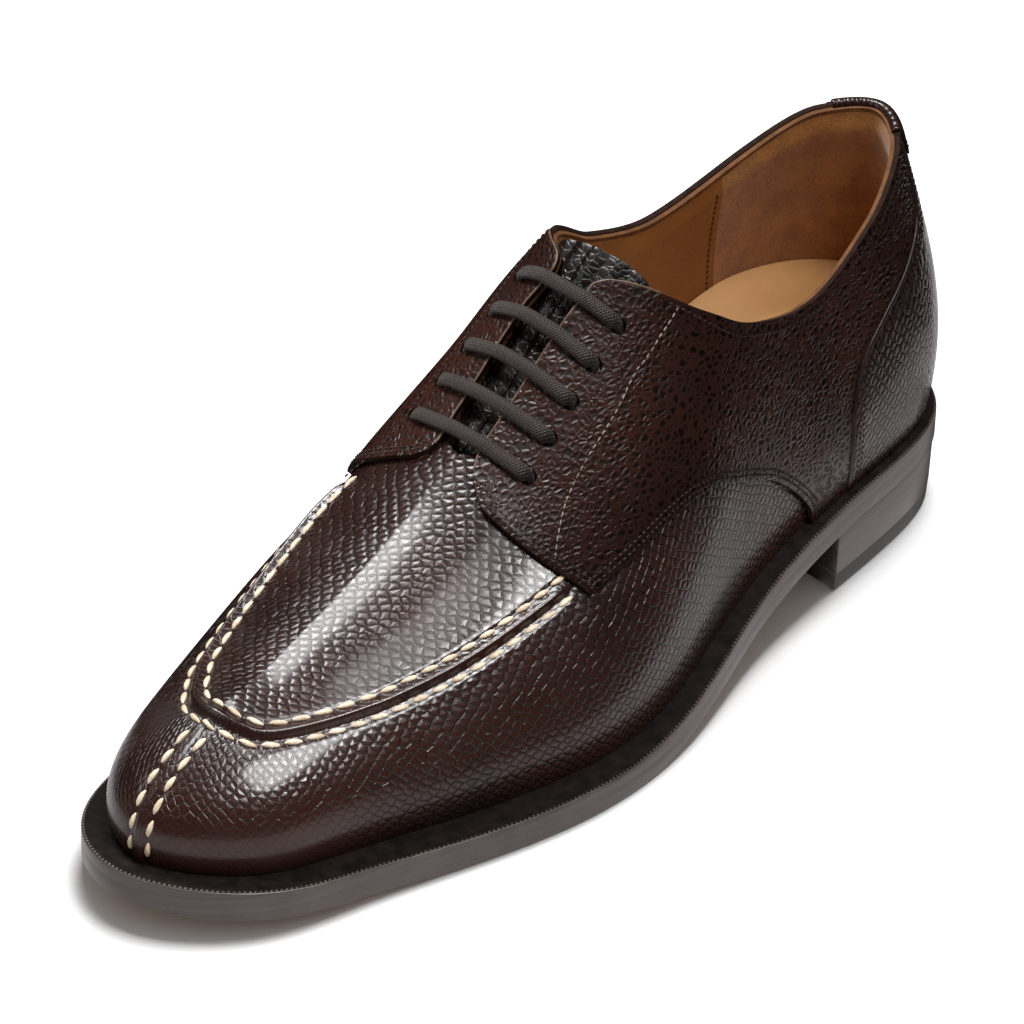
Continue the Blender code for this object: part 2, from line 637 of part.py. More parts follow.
def make_plate(name, loop, low, high, finish, stations, flare=1.0):
    """Plate with a plan outline: extruded, cut across at stations, then bent to its heights."""
    mesh_data = bmesh.new()
    corners = [mesh_data.verts.new((spot[1], spot[0], 0.0)) for spot in loop]
    face = mesh_data.faces.new(corners)
    pushed = bmesh.ops.extrude_face_region(mesh_data, geom=[face])
    raised = [item for item in pushed["geom"] if isinstance(item, bmesh.types.BMVert)]
    bmesh.ops.translate(mesh_data, verts=raised, vec=(0.0, 0.0, 1.0))
    for station in stations:
        everything = mesh_data.verts[:] + mesh_data.edges[:] + mesh_data.faces[:]
        bmesh.ops.bisect_plane(mesh_data, geom=everything, plane_co=(0.0, station, 0.0),
                               plane_no=(0.0, 1.0, 0.0), dist=0.0001)
    middle = np.mean(np.asarray(loop), axis=0)
    for vert in mesh_data.verts:
        across, from_heel, level = vert.co
        top = level > 0.5
        height = high(from_heel) if top else low(from_heel)
        if not top:
            across = middle[1] + (across - middle[1]) * flare
            from_heel = middle[0] + (from_heel - middle[0]) * flare
        vert.co = tuple(place([across, from_heel, float(height)]))
    return new_object(name, mesh_data, finish)


def edge_loop(count, reach):
    """Closed loop of points inside the sole's edge."""
    return inset_edge(np.linspace(0.0, 1.0, count, endpoint=False), reach)[0]


def make_outsole():
    """Outsole with its heel seat, shank, flat tread and toe spring."""
    stations = [TREAD_START, TREAD_END] + [SHANK_START + 12.0 * step for step in range(10)]
    stations += [TREAD_END + 13.0 * step for step in range(1, 8)]
    return make_plate("outsole", edge_loop(84, (0.0, 0.0)), underside,
                      lambda from_heel: underside(from_heel) + OUTSOLE_THICK, "sole_edge", stations)


def make_insole():
    """Insole and its filler inside the foot of the upper."""
    stations = [25.0, 45.0] + [SHANK_START + 14.0 * step for step in range(9)] + [TREAD_START, TREAD_END]
    stations += [TREAD_END + 16.0 * step for step in range(1, 6)]
    return make_plate("insole", edge_loop(64, (1.0, 4.2)),
                      lambda from_heel: underside(from_heel) + OUTSOLE_THICK + FIT_GAP,
                      lambda from_heel: track(INSOLE_TOP, from_heel)[0, 0], "insole", stations)


def make_welt():
    """Welt: a ring on the outsole that carries the foot of the upper."""
    count = 84
    walk = np.linspace(0.0, 1.0, count, endpoint=False)
    loops = []
    for reach, lift in (((0.0, 0.6), FIT_GAP), ((0.0, 0.0), FIT_GAP + 1.0),
                        ((0.0, 0.0), SOLE_THICK - OUTSOLE_THICK - 0.8),
                        ((0.0, 0.9), SOLE_THICK - OUTSOLE_THICK),
                        ((1.0, 3.6), SOLE_THICK - OUTSOLE_THICK), ((1.0, 3.6), FIT_GAP)):
        spot = inset_edge(walk, reach)[0]
        height = underside(spot[:, 0]) + OUTSOLE_THICK + lift
        loops.append(np.stack([spot[:, 1], spot[:, 0], height], axis=1))
    mesh_data = bmesh.new()
    rings = add_grid(mesh_data, place(loops))
    for row, ring in enumerate(rings):
        following = rings[(row + 1) % len(rings)]
        for spot in range(count):
            nearby = (spot + 1) % count
            mesh_data.faces.new([ring[spot], ring[nearby], following[nearby], following[spot]])
    return new_object("welt", mesh_data, "welt")


def heel_loop(shrink):
    """Plan of the heel: the sole's edge behind the breast, closed by a hollow breast line."""
    walk = np.linspace(-0.30, 0.30, 121)
    edge = inset_edge(edge_walk(walk), (0.0, shrink))[0]
    back = edge[edge[:, 0] <= HEEL_FRONT]
    picked = back[np.linspace(0, len(back) - 1, 41).astype(int)]
    lateral = picked[-1]
    medial = picked[0]
    breast = []
    for part in np.linspace(0.0, 1.0, 9)[1:-1]:
        spot = lateral + (medial - lateral) * part
        hollow = 3.5 * (1.0 - (2.0 * part - 1.0) ** 2)
        breast.append((spot[0] - hollow, spot[1]))
    return np.concatenate([picked, np.array(breast)])


def make_heel():
    """Stacked heel block and its rubber top lift."""
    make_plate("heel_stack", heel_loop(0.4), lambda from_heel: LIFT_THICK + FIT_GAP,
               lambda from_heel: underside(from_heel) - FIT_GAP, "heel",
               [SHANK_START, SHANK_START + 12.0], 0.985)
    make_plate("top_lift", heel_loop(0.9), lambda from_heel: 0.0,
               lambda from_heel: LIFT_THICK, "rubber", [], 0.985)


def main():
    """Build every piece of the shoe."""
    for thing in list(bpy.data.objects):
        bpy.data.objects.remove(thing)
    make_outsole()
    make_welt()
    make_heel()
    make_insole()
    make_upper()
    make_tongue()
    make_counter()
    make_quarter("quarter_lateral", 1.0)
    make_quarter("quarter_medial", -1.0)
    for number, bar in enumerate(LACE_BARS):
        make_lace_bar("lace_bar_%d" % (number + 1), bar)


main()
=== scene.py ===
"""Dressed scene of a left split-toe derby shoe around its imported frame.

Shoe coordinates are millimetres: across (lateral is +), from_heel (back of the sole is 0) and
height above the floor. Last.place() turns them into scene metres with the toe towards -Y.
A section of the upper is named by its share: 0 at the centre of the back, +1 at the toe going
round the lateral side and -1 at the toe going round the medial side. The level on a section is 0
at the foot of the upper and 1 at its top, by length of arc.
"""
from __future__ import annotations

import logging
import math
from dataclasses import dataclass, field
from enum import Enum
from typing import Callable, Optional, Sequence

import bpy
import numpy as np
from mathutils import Matrix, Vector

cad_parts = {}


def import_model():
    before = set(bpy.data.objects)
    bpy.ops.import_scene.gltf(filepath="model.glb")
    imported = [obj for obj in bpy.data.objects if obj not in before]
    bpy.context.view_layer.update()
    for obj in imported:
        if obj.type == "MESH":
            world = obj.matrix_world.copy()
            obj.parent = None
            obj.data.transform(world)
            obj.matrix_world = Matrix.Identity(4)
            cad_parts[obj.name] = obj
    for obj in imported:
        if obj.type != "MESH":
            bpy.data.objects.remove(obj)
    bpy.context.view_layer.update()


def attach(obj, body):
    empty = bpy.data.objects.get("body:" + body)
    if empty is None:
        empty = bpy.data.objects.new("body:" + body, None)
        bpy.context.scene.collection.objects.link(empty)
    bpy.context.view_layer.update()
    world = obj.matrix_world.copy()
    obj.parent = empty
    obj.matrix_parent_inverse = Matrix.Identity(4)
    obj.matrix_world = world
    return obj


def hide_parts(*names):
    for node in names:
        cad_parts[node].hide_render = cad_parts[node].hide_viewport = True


LOG = logging.getLogger("derby")
MM = 0.001
Colour = tuple[float, float, float]
Array = np.ndarray
Thing = bpy.types.Object
Material = bpy.types.Material
Socket = bpy.types.NodeSocket
Group = bpy.types.Collection

# Sole edge in plan: from_heel, across
SOLE_EDGE = [
    (0, -1), (12, 21.5), (40, 31.5), (80, 36), (115, 41.5), (150, 50.5), (185, 53),
    (220, 46), (255, 35), (283, 24.5), (302, -4), (291, -28), (264, -40), (228, -48),
    (195, -48), (155, -39.5), (115, -34), (80, -33), (40, -33), (12, -22.5),
]
TOE_ROW = 10

# Millimetres round the last for each unit of share, for maps of the grain
ROUND = 330.0

# Width of welt that shows beyond the upper: from_heel, lateral, medial
WELT_REVEAL = [(0, 5.1, 5.1), (60, 5.3, 5.1), (140, 6.2, 5.5), (215, 9.3, 6.5), (302, 7.4, 7.4)]

# Collar rim of the upper: share, from_heel, across, height
RIM = [
    (-0.49, 133, -6, 111.5), (-0.455, 127.5, -18.6, 112), (-0.42, 119, -24.6, 108),
    (-0.37, 103, -26.6, 98.3), (-0.29, 77, -27.5, 92), (-0.17, 43, -24, 99.5),
    (-0.08, 24, -15, 108), (0.0, 15, -3, 109.5), (0.08, 23.5, 9.5, 107), (0.17, 46, 18.8, 96),
    (0.29, 79, 23, 86.5), (0.37, 105, 23.5, 92), (0.42, 120, 19.5, 102), (0.455, 128, 9.5, 109.5),
    (0.49, 133, -6, 111.5),
]

# Ridge line from the throat to the toe: share, from_heel, across, height
SPINE = [
    (0.49, 133, -6, 111.5), (0.56, 150, -6, 97), (0.64, 174, -6, 78), (0.74, 205, -5.5, 62),
    (0.84, 232, -5.5, 52), (0.92, 250, -5, 47), (1.0, 258, -5, 45.5),
]

# Section shape: share, lean out at the foot, lean in at the top, pull at the foot, pull at the top
SECTION = [
    (-1.0, 14, 90, 0.56, 0.50), (-0.92, 18, 89, 0.56, 0.52), (-0.84, 20, 88, 0.57, 0.52),
    (-0.74, 16, 87, 0.55, 0.54), (-0.64, 11, 86, 0.53, 0.60), (-0.56, 8, 85, 0.50, 0.62),
    (-0.49, 8, 78, 0.43, 0.58), (-0.455, 8, 58, 0.42, 0.48), (-0.42, 8, 36, 0.41, 0.36),
    (-0.37, 8, 19, 0.40, 0.30), (-0.29, 7, 12, 0.38, 0.32), (-0.17, 8, 14, 0.38, 0.30),
    (-0.08, 12, 15, 0.40, 0.30), (0.0, 14, 15, 0.42, 0.30), (0.08, 12, 15, 0.40, 0.30),
    (0.17, 8, 14, 0.38, 0.30), (0.29, 7, 12, 0.38, 0.32), (0.37, 7, 19, 0.40, 0.30),
    (0.42, 7, 30, 0.41, 0.30), (0.455, 8, 50, 0.43, 0.32), (0.49, 10, 74, 0.46, 0.38),
    (0.56, 14, 83, 0.52, 0.39), (0.64, 18, 85, 0.54, 0.42), (0.74, 22, 87, 0.56, 0.46),
    (0.84, 22, 88, 0.56, 0.48), (0.92, 20, 89, 0.56, 0.50), (1.0, 14, 90, 0.56, 0.50),
]

# Edge of the lacing slot: share without its sign, distance from the spine
SLOT = [(0.0, 0), (0.44, 0), (0.465, 3.0), (0.485, 7), (0.505, 7), (0.53, 6.3), (0.625, 6.3),
        (0.642, 4.6), (0.655, 0), (1.0, 0)]

# Upper edge of each quarter along collar and facing: share, distance from the top of the section
FACING_LATERAL = [(0.0, 0), (0.30, -0.3), (0.349, -0.8), (0.389, -2.0), (0.42, -0.7), (0.439, 0.1),
                  (0.456, 1.0), (0.4715, 2.0), (0.4855, 3.1), (0.496, 4.6), (0.506, 6.1), (0.52, 6.4),
                  (0.555, 6.3), (0.60, 6.1), (0.622, 5.8), (0.638, 6.4), (0.648, 8.4), (0.6535, 10.8)]
FACING_MEDIAL = [(0.0, 0), (0.42, 0.3), (0.44, 1.2), (0.455, 1.5), (0.469, 1.6), (0.480, 2.0), (0.489, 3.4),
                 (0.499, 6.6), (0.508, 9.4), (0.518, 11.2), (0.56, 11.8), (0.605, 11.6), (0.622, 10.6),
                 (0.633, 10.0), (0.640, 10.6)]

# Top of the insole: from_heel, height
INSOLE_TOP = [(0, 52), (25, 56), (45, 57.5), (65, 55), (90, 48), (120, 37), (150, 25.5), (180, 14),
              (200, 10.5), (240, 11.3), (302, 17.2)]

# Raised apron seam: share, level
APRON = [
    (-1.0, 0.812), (-0.985, 0.791), (-0.97, 0.770), (-0.95, 0.741), (-0.93, 0.710), (-0.91, 0.672),
    (-0.89, 0.638), (-0.87, 0.61), (-0.83, 0.56), (-0.76, 0.545), (-0.70, 0.55), (-0.62, 0.555),
    (-0.5, 0.55), (0.0, 0.55), (0.5, 0.52), (0.61, 0.50), (0.70, 0.494), (0.77, 0.503), (0.81, 0.525),
    (0.85, 0.56), (0.88, 0.597), (0.91, 0.645), (0.93, 0.690), (0.95, 0.729), (0.97, 0.765),
    (0.985, 0.789), (1.0, 0.812),
]

# Front edge of the counter, both sides: level, share
COUNTER_EDGE = [
    (-0.1, 0.243), (0.18, 0.243), (0.35, 0.241), (0.44, 0.236), (0.52, 0.228), (0.58, 0.212),
    (0.645, 0.174), (0.69, 0.13), (0.75, 0.09), (0.85, 0.074), (1.1, 0.066),
]

# Lower edge of a quarter, from the welt up the arch to its front tip: share, level
QUARTER_LOW = [
    (0.245, 0.0), (0.288, 0.0), (0.294, 0.08), (0.313, 0.216), (0.338, 0.338), (0.365, 0.424),
    (0.399, 0.47), (0.441, 0.485), (0.469, 0.468), (0.501, 0.45), (0.553, 0.447), (0.597, 0.446),
]

# Front edge of a quarter, from its tip up to the rounded throat corner: level, share
QUARTER_FRONT = [(0.446, 0.597), (0.58, 0.625), (0.74, 0.648), (0.83, 0.6555), (0.895, 0.6535)]
# The same edges' ends on the medial side
QUARTER_FRONT_MEDIAL = [(0.446, 0.572), (0.536, 0.590), (0.587, 0.5997), (0.663, 0.6134), (0.75, 0.627),
                        (0.81, 0.6355), (0.857, 0.6395), (0.895, 0.640)]
QUARTER_LOW_MEDIAL = [(0.54, 0.447), (0.572, 0.446)]

# Row of stitches along the facing: share, level
FACING_ROW = [(0.431, 0.985), (0.455, 0.875), (0.481, 0.780), (0.5205, 0.715), (0.5602, 0.692),
              (0.5893, 0.660), (0.606, 0.615), (0.617, 0.570)]

# Lace bars, top to bottom: share at the spine, then share and distance from the spine of the lateral
# eyelet and of the medial eyelet
LACE_BARS = [
    (0.515, 0.489, 16.0, 0.472, 14.0), (0.548, 0.524, 20.9, 0.496, 23.0),
    (0.581, 0.556, 21.8, 0.527, 26.0), (0.611, 0.584, 22.5, 0.556, 27.6),
    (0.640, 0.611, 23.5, 0.581, 29.8),
]


def ease(share: Array) -> Array:
    """Smooth step from 0 to 1."""
    held = np.clip(share, 0.0, 1.0)
    return held * held * (3.0 - 2.0 * held)


def hump(distance: Array, half: float) -> Array:
    """Bell of height 1 that falls off over a half width."""
    return np.exp(-(distance / half) ** 2)


def unit(ways: Array) -> Array:
    """Ways of length 1."""
    return ways / np.maximum(np.linalg.norm(ways, axis=-1, keepdims=True), 1e-9)


def track(table: Sequence, share: Array) -> Array:
    """Read a table's columns by a cubic that does not overshoot its rows.

    Args:
        table: Rows of a knot and its values.
        share: Knots to read at.

    Returns:
        An array (share, columns).
    """
    rows = np.asarray(table, float)
    knots = rows[:, 0]
    values = rows[:, 1:]
    share = np.clip(np.atleast_1d(np.asarray(share, float)), knots[0], knots[-1])
    step = np.diff(knots)[:, None]
    slope = np.diff(values, axis=0) / step
    tangent = np.zeros_like(values)
    product = slope[:-1] * slope[1:]
    total = np.where(np.abs(slope[:-1] + slope[1:]) < 1e-9, 1.0, slope[:-1] + slope[1:])
    tangent[1:-1] = np.where(product > 0, 2.0 * product / total, 0.0)
    tangent[0] = slope[0]
    tangent[-1] = slope[-1]
    place_in = np.clip(np.searchsorted(knots, share, side="right") - 1, 0, len(knots) - 2)
    width = step[place_in]
    part = (share[:, None] - knots[place_in][:, None]) / width
    rise = tangent[place_in] * width
    fall = tangent[place_in + 1] * width
    cube = part ** 3
    square = part ** 2
    return ((2 * cube - 3 * square + 1) * values[place_in] + (cube - 2 * square + part) * rise
            + (3 * square - 2 * cube) * values[place_in + 1] + (cube - square) * fall)


def read(table: Sequence, share: Array) -> Array:
    """First column of a table at an array of knots of any shape."""
    share = np.asarray(share, float)
    return track(table, share.ravel())[:, 0].reshape(share.shape)


def arc_length(path: Array) -> Array:
    """Length along a path at each of its points."""
    return np.concatenate([[0.0], np.cumsum(np.linalg.norm(np.diff(path, axis=0), axis=1))])


def along_path(spots: Array, arc: Array, values: Array) -> Array:
    """Rows of three values, read at lengths along a path."""
    return np.stack([np.interp(spots, arc, values[:, axis]) for axis in range(3)], axis=1)


def both_sides(half: Array) -> Array:
    """Shares of the lateral half, then of the medial half, back to toe to back."""
    return np.concatenate([half, -half[-2::-1]])


def wrap(share: Array) -> Array:
    """Shares past the toe brought back between -1 and 1."""
    return np.mod(share + 1.0, 2.0) - 1.0


def cubic(part: Array, rods: Sequence[Array]) -> Array:
    """Points of cubics by their four control points."""
    rest = 1.0 - part
    return (rest ** 3 * rods[0] + 3 * rest ** 2 * part * rods[1] + 3 * rest * part ** 2 * rods[2]
            + part ** 3 * rods[3])


class ClosedCurve:
    """Smooth closed curve through the rows of a table, walked by a parameter from 0 to 1."""

    def __init__(self, table: Sequence) -> None:
        """Solve the curve's bends.

        Args:
            table: Points of the curve in order.
        """
        self.points = np.asarray(table, float)
        count = len(self.points)
        chord = np.linalg.norm(np.roll(self.points, -1, axis=0) - self.points, axis=1) ** 0.5
        self.knots = np.concatenate([[0.0], np.cumsum(chord)]) / chord.sum()
        gap = np.diff(self.knots)
        system = np.zeros((count, count))
        target = np.zeros_like(self.points)
        for here in range(count):
            before = (here - 1) % count
            after = (here + 1) % count
            system[here, before] += gap[before]
            system[here, here] += 2.0 * (gap[before] + gap[here])
            system[here, after] += gap[here]
            ahead = (self.points[after] - self.points[here]) / gap[here]
            behind = (self.points[here] - self.points[before]) / gap[before]
            target[here] = 6.0 * (ahead - behind)
        self.bend = np.linalg.solve(system, target)

    def at(self, parameter: Array) -> Array:
        """Points of the curve.

        Args:
            parameter: Places along the curve, 0 to 1 for one round.

        Returns:
            An array (parameter, 2).
        """
        walk = np.mod(np.asarray(parameter, float), 1.0)
        count = len(self.points)
        here = np.clip(np.searchsorted(self.knots, walk, side="right") - 1, 0, count - 1)
        after = (here + 1) % count
        gap = (self.knots[here + 1] - self.knots[here])[:, None]
        back = (self.knots[here + 1] - walk)[:, None]
        ahead = (walk - self.knots[here])[:, None]
        curve = (self.bend[here] * back ** 3 + self.bend[after] * ahead ** 3) / (6.0 * gap)
        line = ((self.points[here] / gap - self.bend[here] * gap / 6.0) * back
                + (self.points[after] / gap - self.bend[after] * gap / 6.0) * ahead)
        return curve + line


@dataclass
class Last:
    """Form that the upper is shaped over, with the sole's plan and heights."""

    sole_length: float = 302.0
    heel_height: float = 19.0
    toe_spring: float = 7.0
    sole_thick: float = 8.0
    outsole_thick: float = 4.6
    foot_gap: float = 0.55
    shank_start: float = 52.0
    tread_start: float = 184.0
    tread_end: float = 206.0
    blend: float = 0.008
    corner: float = 0.48
    corner_blend: float = 0.020
    edge: ClosedCurve = field(default_factory=lambda: ClosedCurve(SOLE_EDGE))

    def __post_init__(self) -> None:
        """Find the middle of the sole and its toe."""
        sample = self.edge.at(np.linspace(0.0, 1.0, 2001))
        self.middle_from_heel = (sample[:, 0].max() + sample[:, 0].min()) / 2.0
        self.middle_across = (sample[:, 1].max() + sample[:, 1].min()) / 2.0
        self.edge_toe = self.edge.knots[TOE_ROW]

    def place(self, points: Array) -> Array:
        """Shoe coordinates (across, from_heel, height) in scene metres."""
        points = np.asarray(points, float)
        return np.stack([points[..., 0] - self.middle_across, self.middle_from_heel - points[..., 1],
                         points[..., 2]], axis=-1) * MM

    def underside(self, from_heel: Array) -> Array:
        """Height of the outsole's underside: heel, shank, flat tread and toe spring."""
        from_heel = np.asarray(from_heel, float)
        shank = ease((from_heel - self.shank_start) / (self.tread_start - self.shank_start))
        spring = np.clip((from_heel - self.tread_end) / (self.sole_length - self.tread_end), 0.0, 1.0)
        return self.heel_height * (1.0 - shank) + self.toe_spring * spring ** 2

    def edge_walk(self, share: Array) -> Array:
        """Parameter of the sole's edge at a section's share."""
        share = np.asarray(share, float)
        return np.where(share >= 0, share * self.edge_toe, share * (1.0 - self.edge_toe))

    def inset(self, walk: Array, shares: float, more: float) -> tuple[Array, Array]:
        """Sole edge moved inwards.

        Args:
            walk: Parameters of the sole's edge.
            shares: Part of the welt's width to move by.
            more: Millimetres to move by besides.

        Returns:
            The moved points (from_heel, across) and the outward ways.
        """
        step = 1e-4
        spot = self.edge.at(walk)
        way = self.edge.at(walk + step) - self.edge.at(walk - step)
        inward = unit(np.stack([way[:, 1], -way[:, 0]], axis=1))
        reveal = track(WELT_REVEAL, spot[:, 0])
        lateral = 0.5 * (1.0 + np.tanh(spot[:, 1] / 8.0))
        width = reveal[:, 0] * lateral + reveal[:, 1] * (1.0 - lateral)
        return spot + inward * (width * shares + more)[:, None], -inward

    def controls(self, share: Array) -> tuple[Array, ...]:
        """Four control points of each section's cubic, foot to top."""
        moved, outward = self.inset(self.edge_walk(share), 1.0, 0.0)
        height = self.underside(moved[:, 0]) + self.sole_thick + self.foot_gap
        foot = np.stack([moved[:, 1], moved[:, 0], height], axis=1)
        spine = track(SPINE, np.abs(share))
        chosen = np.where((np.abs(share) < SPINE[0][0])[:, None], track(RIM, share), spine)
        top = chosen[:, [1, 0, 2]]
        outward = np.stack([outward[:, 1], outward[:, 0], np.zeros(len(share))], axis=1)
        shape = track(SECTION, share)
        foot_lean = np.radians(shape[:, 0])[:, None]
        top_lean = np.radians(shape[:, 1])[:, None]
        flat = unit((top - foot) * np.array([1.0, 1.0, 0.0]))
        over = ease((shape[:, 1] - 20.0) / 50.0)[:, None]
        inward = flat * over - outward * (1.0 - over)
        along = np.maximum(np.abs(share), SPINE[0][0] + 0.01)
        behind = track(SPINE, along - 0.01)
        ahead = track(SPINE, along + 0.01)
        slope = ((ahead[:, 2] - behind[:, 2]) / np.maximum(ahead[:, 0] - behind[:, 0], 1e-6))[:, None]
        inward[:, 2:3] += inward[:, 1:2] * slope * over
        inward = unit(inward)
        upward = np.array([0.0, 0.0, 1.0])
        foot_way = np.cos(foot_lean) * upward + np.sin(foot_lean) * outward
        top_way = np.cos(top_lean) * upward + np.sin(top_lean) * inward
        rise = (top[:, 2] - foot[:, 2])[:, None]
        reach = np.linalg.norm(top - foot, axis=1)[:, None]
        return (foot, foot + foot_way * shape[:, 2:3] * rise, top - top_way * shape[:, 3:4] * reach, top)

    def averaged(self, share: Array, reach: float) -> tuple[Array, ...]:
        """Upper three control points averaged with those of the sections nearby.

        Args:
            share: Shares of the sections.
            reach: Spread of the average, in share.

        Returns:
            The three averages.
        """
        sums = [0.0, 0.0, 0.0]
        total = 0.0
        for tap in np.linspace(-2.0, 2.0, 7):
            weight = math.exp(-tap * tap / 2.0)
            parts = self.controls(wrap(share + tap * reach))
            sums = [before + rod * weight for before, rod in zip(sums, parts[1:])]
            total += weight
        return tuple(rods / total for rods in sums)

    def smooth_controls(self, share: Array) -> tuple[Array, ...]:
        """Control points blended with their neighbours', most of all round the throat corner."""
        foot, _, _, top = self.controls(share)
        low, high, _ = self.averaged(share, self.blend)
        wide = self.averaged(share, self.corner_blend)
        part = (1.0 - ease((np.abs(np.abs(share) - self.corner) - 0.05) / 0.07))[:, None]
        blended = [rod + (other - rod) * part for rod, other in zip((low, high, top), wide)]
        return (foot, *blended)

    def at(self, share: Array, level: Array) -> tuple[Array, Array]:
        """Points at levels of sections by length of arc, run on straight beyond 0 and 1.

        Args:
            share: Shares of the sections, flat.
            level: Levels on them, flat.

        Returns:
            The points (n, 3) and the sections' lengths (n).
        """
        count = 49
        values, home = np.unique(share, return_inverse=True)
        rods = self.smooth_controls(values)
        walk = np.linspace(0.0, 1.0, count)[None, :, None]
        curves = cubic(walk, [rod[:, None] for rod in rods])
        legs = np.linalg.norm(np.diff(curves, axis=1), axis=2)
        arc = np.concatenate([np.zeros((len(curves), 1)), np.cumsum(legs, axis=1)], axis=1)
        length = arc[home, -1]
        want = level * length
        held = np.clip(want, 0.0, length)
        spot = np.clip((arc[home] < held[:, None]).sum(axis=1), 1, count - 1)
        start = arc[home, spot - 1]
        part = (spot - 1 + (held - start) / (arc[home, spot] - start)) / (count - 1)
        foot, low, high, top = (rod[home] for rod in rods)
        points = cubic(part[:, None], (foot, low, high, top))
        points += unit(low - foot) * np.minimum(want, 0.0)[:, None]
        points += unit(top - high) * np.maximum(want - length, 0.0)[:, None]
        return points, length

    def frame(self, share: Array, level: Array) -> tuple[Array, Array]:
        """Points of the last's outer surface and its outward normals, in millimetres."""
        share = np.asarray(share, float)
        level = np.broadcast_to(np.asarray(level, float), share.shape)
        flat_share = share.ravel()
        flat_level = level.ravel()
        step = 0.004
        points = self.at(flat_share, flat_level)[0]
        after = self.at(wrap(flat_share + step), flat_level)[0]
        turn = after - self.at(wrap(flat_share - step), flat_level)[0]
        climb = self.at(flat_share, flat_level + step)[0] - self.at(flat_share, flat_level - step)[0]
        normal = unit(np.cross(turn, climb))
        return points.reshape(share.shape + (3,)), normal.reshape(share.shape + (3,))

    def surface(self, share: Array, level: Array, offset: Array) -> Array:
        """Points of the outer surface moved outwards by an offset, in millimetres."""
        points, normal = self.frame(share, level)
        return points + normal * np.broadcast_to(offset, points.shape[:-1])[..., None]

    def length(self, share: Array) -> Array:
        """Length of arc of each section."""
        share = np.asarray(share, float)
        flat = share.ravel()
        return self.at(flat, np.zeros(len(flat)))[1].reshape(share.shape)

    def stretch(self, share: Array, level: Array) -> Array:
        """Millimetres along the surface for each unit of share."""
        share = np.asarray(share, float)
        flat = share.ravel()
        flat_level = np.broadcast_to(level, share.shape).ravel()
        step = 0.004
        reach = self.at(wrap(flat + step), flat_level)[0] - self.at(wrap(flat - step), flat_level)[0]
        return (np.linalg.norm(reach, axis=1) / (2.0 * step)).reshape(share.shape)

    def shift(self, share: Array, level: Array, move: Array) -> tuple[Array, Array]:
        """Share and level of places moved along the surface.

        Args:
            share: Shares of the places.
            level: Levels of the places.
            move: Moves in millimetres of the shoe, along the surface.

        Returns:
            The new shares and levels.
        """
        step = 1e-3
        turns = 4
        for _ in range(turns):
            spot = self.at(share, level)[0]
            by_share = (self.at(share + step, level)[0] - spot) / step
            by_level = (self.at(share, level + step)[0] - spot) / step
            first = (by_share * by_share).sum(axis=1)
            mixed = (by_share * by_level).sum(axis=1)
            second = (by_level * by_level).sum(axis=1)
            want_share = (by_share * move).sum(axis=1) / turns
            want_level = (by_level * move).sum(axis=1) / turns
            whole = first * second - mixed ** 2
            share = share + (want_share * second - want_level * mixed) / whole
            level = level + (want_level * first - want_share * mixed) / whole
        return share, level

    def down(self, share: Array, away: Array) -> Array:
        """Level at a distance below the top of each section."""
        return 1.0 - away / self.length(share)

    def top_level(self, table: Sequence, share: Array) -> Array:
        """Level of an edge given by its distance from the top of each section."""
        return self.down(share, read(table, np.abs(share)))

    def apron_slant(self, share: Array) -> Array:
        """Cosine of the apron seam's slant against the sections."""
        step = 0.006
        rise = (read(APRON, share + step) - read(APRON, share - step)) / (2.0 * step) * self.length(share)
        along = self.stretch(share, read(APRON, share))
        return along / np.sqrt(along ** 2 + rise ** 2)


LAST = Last()


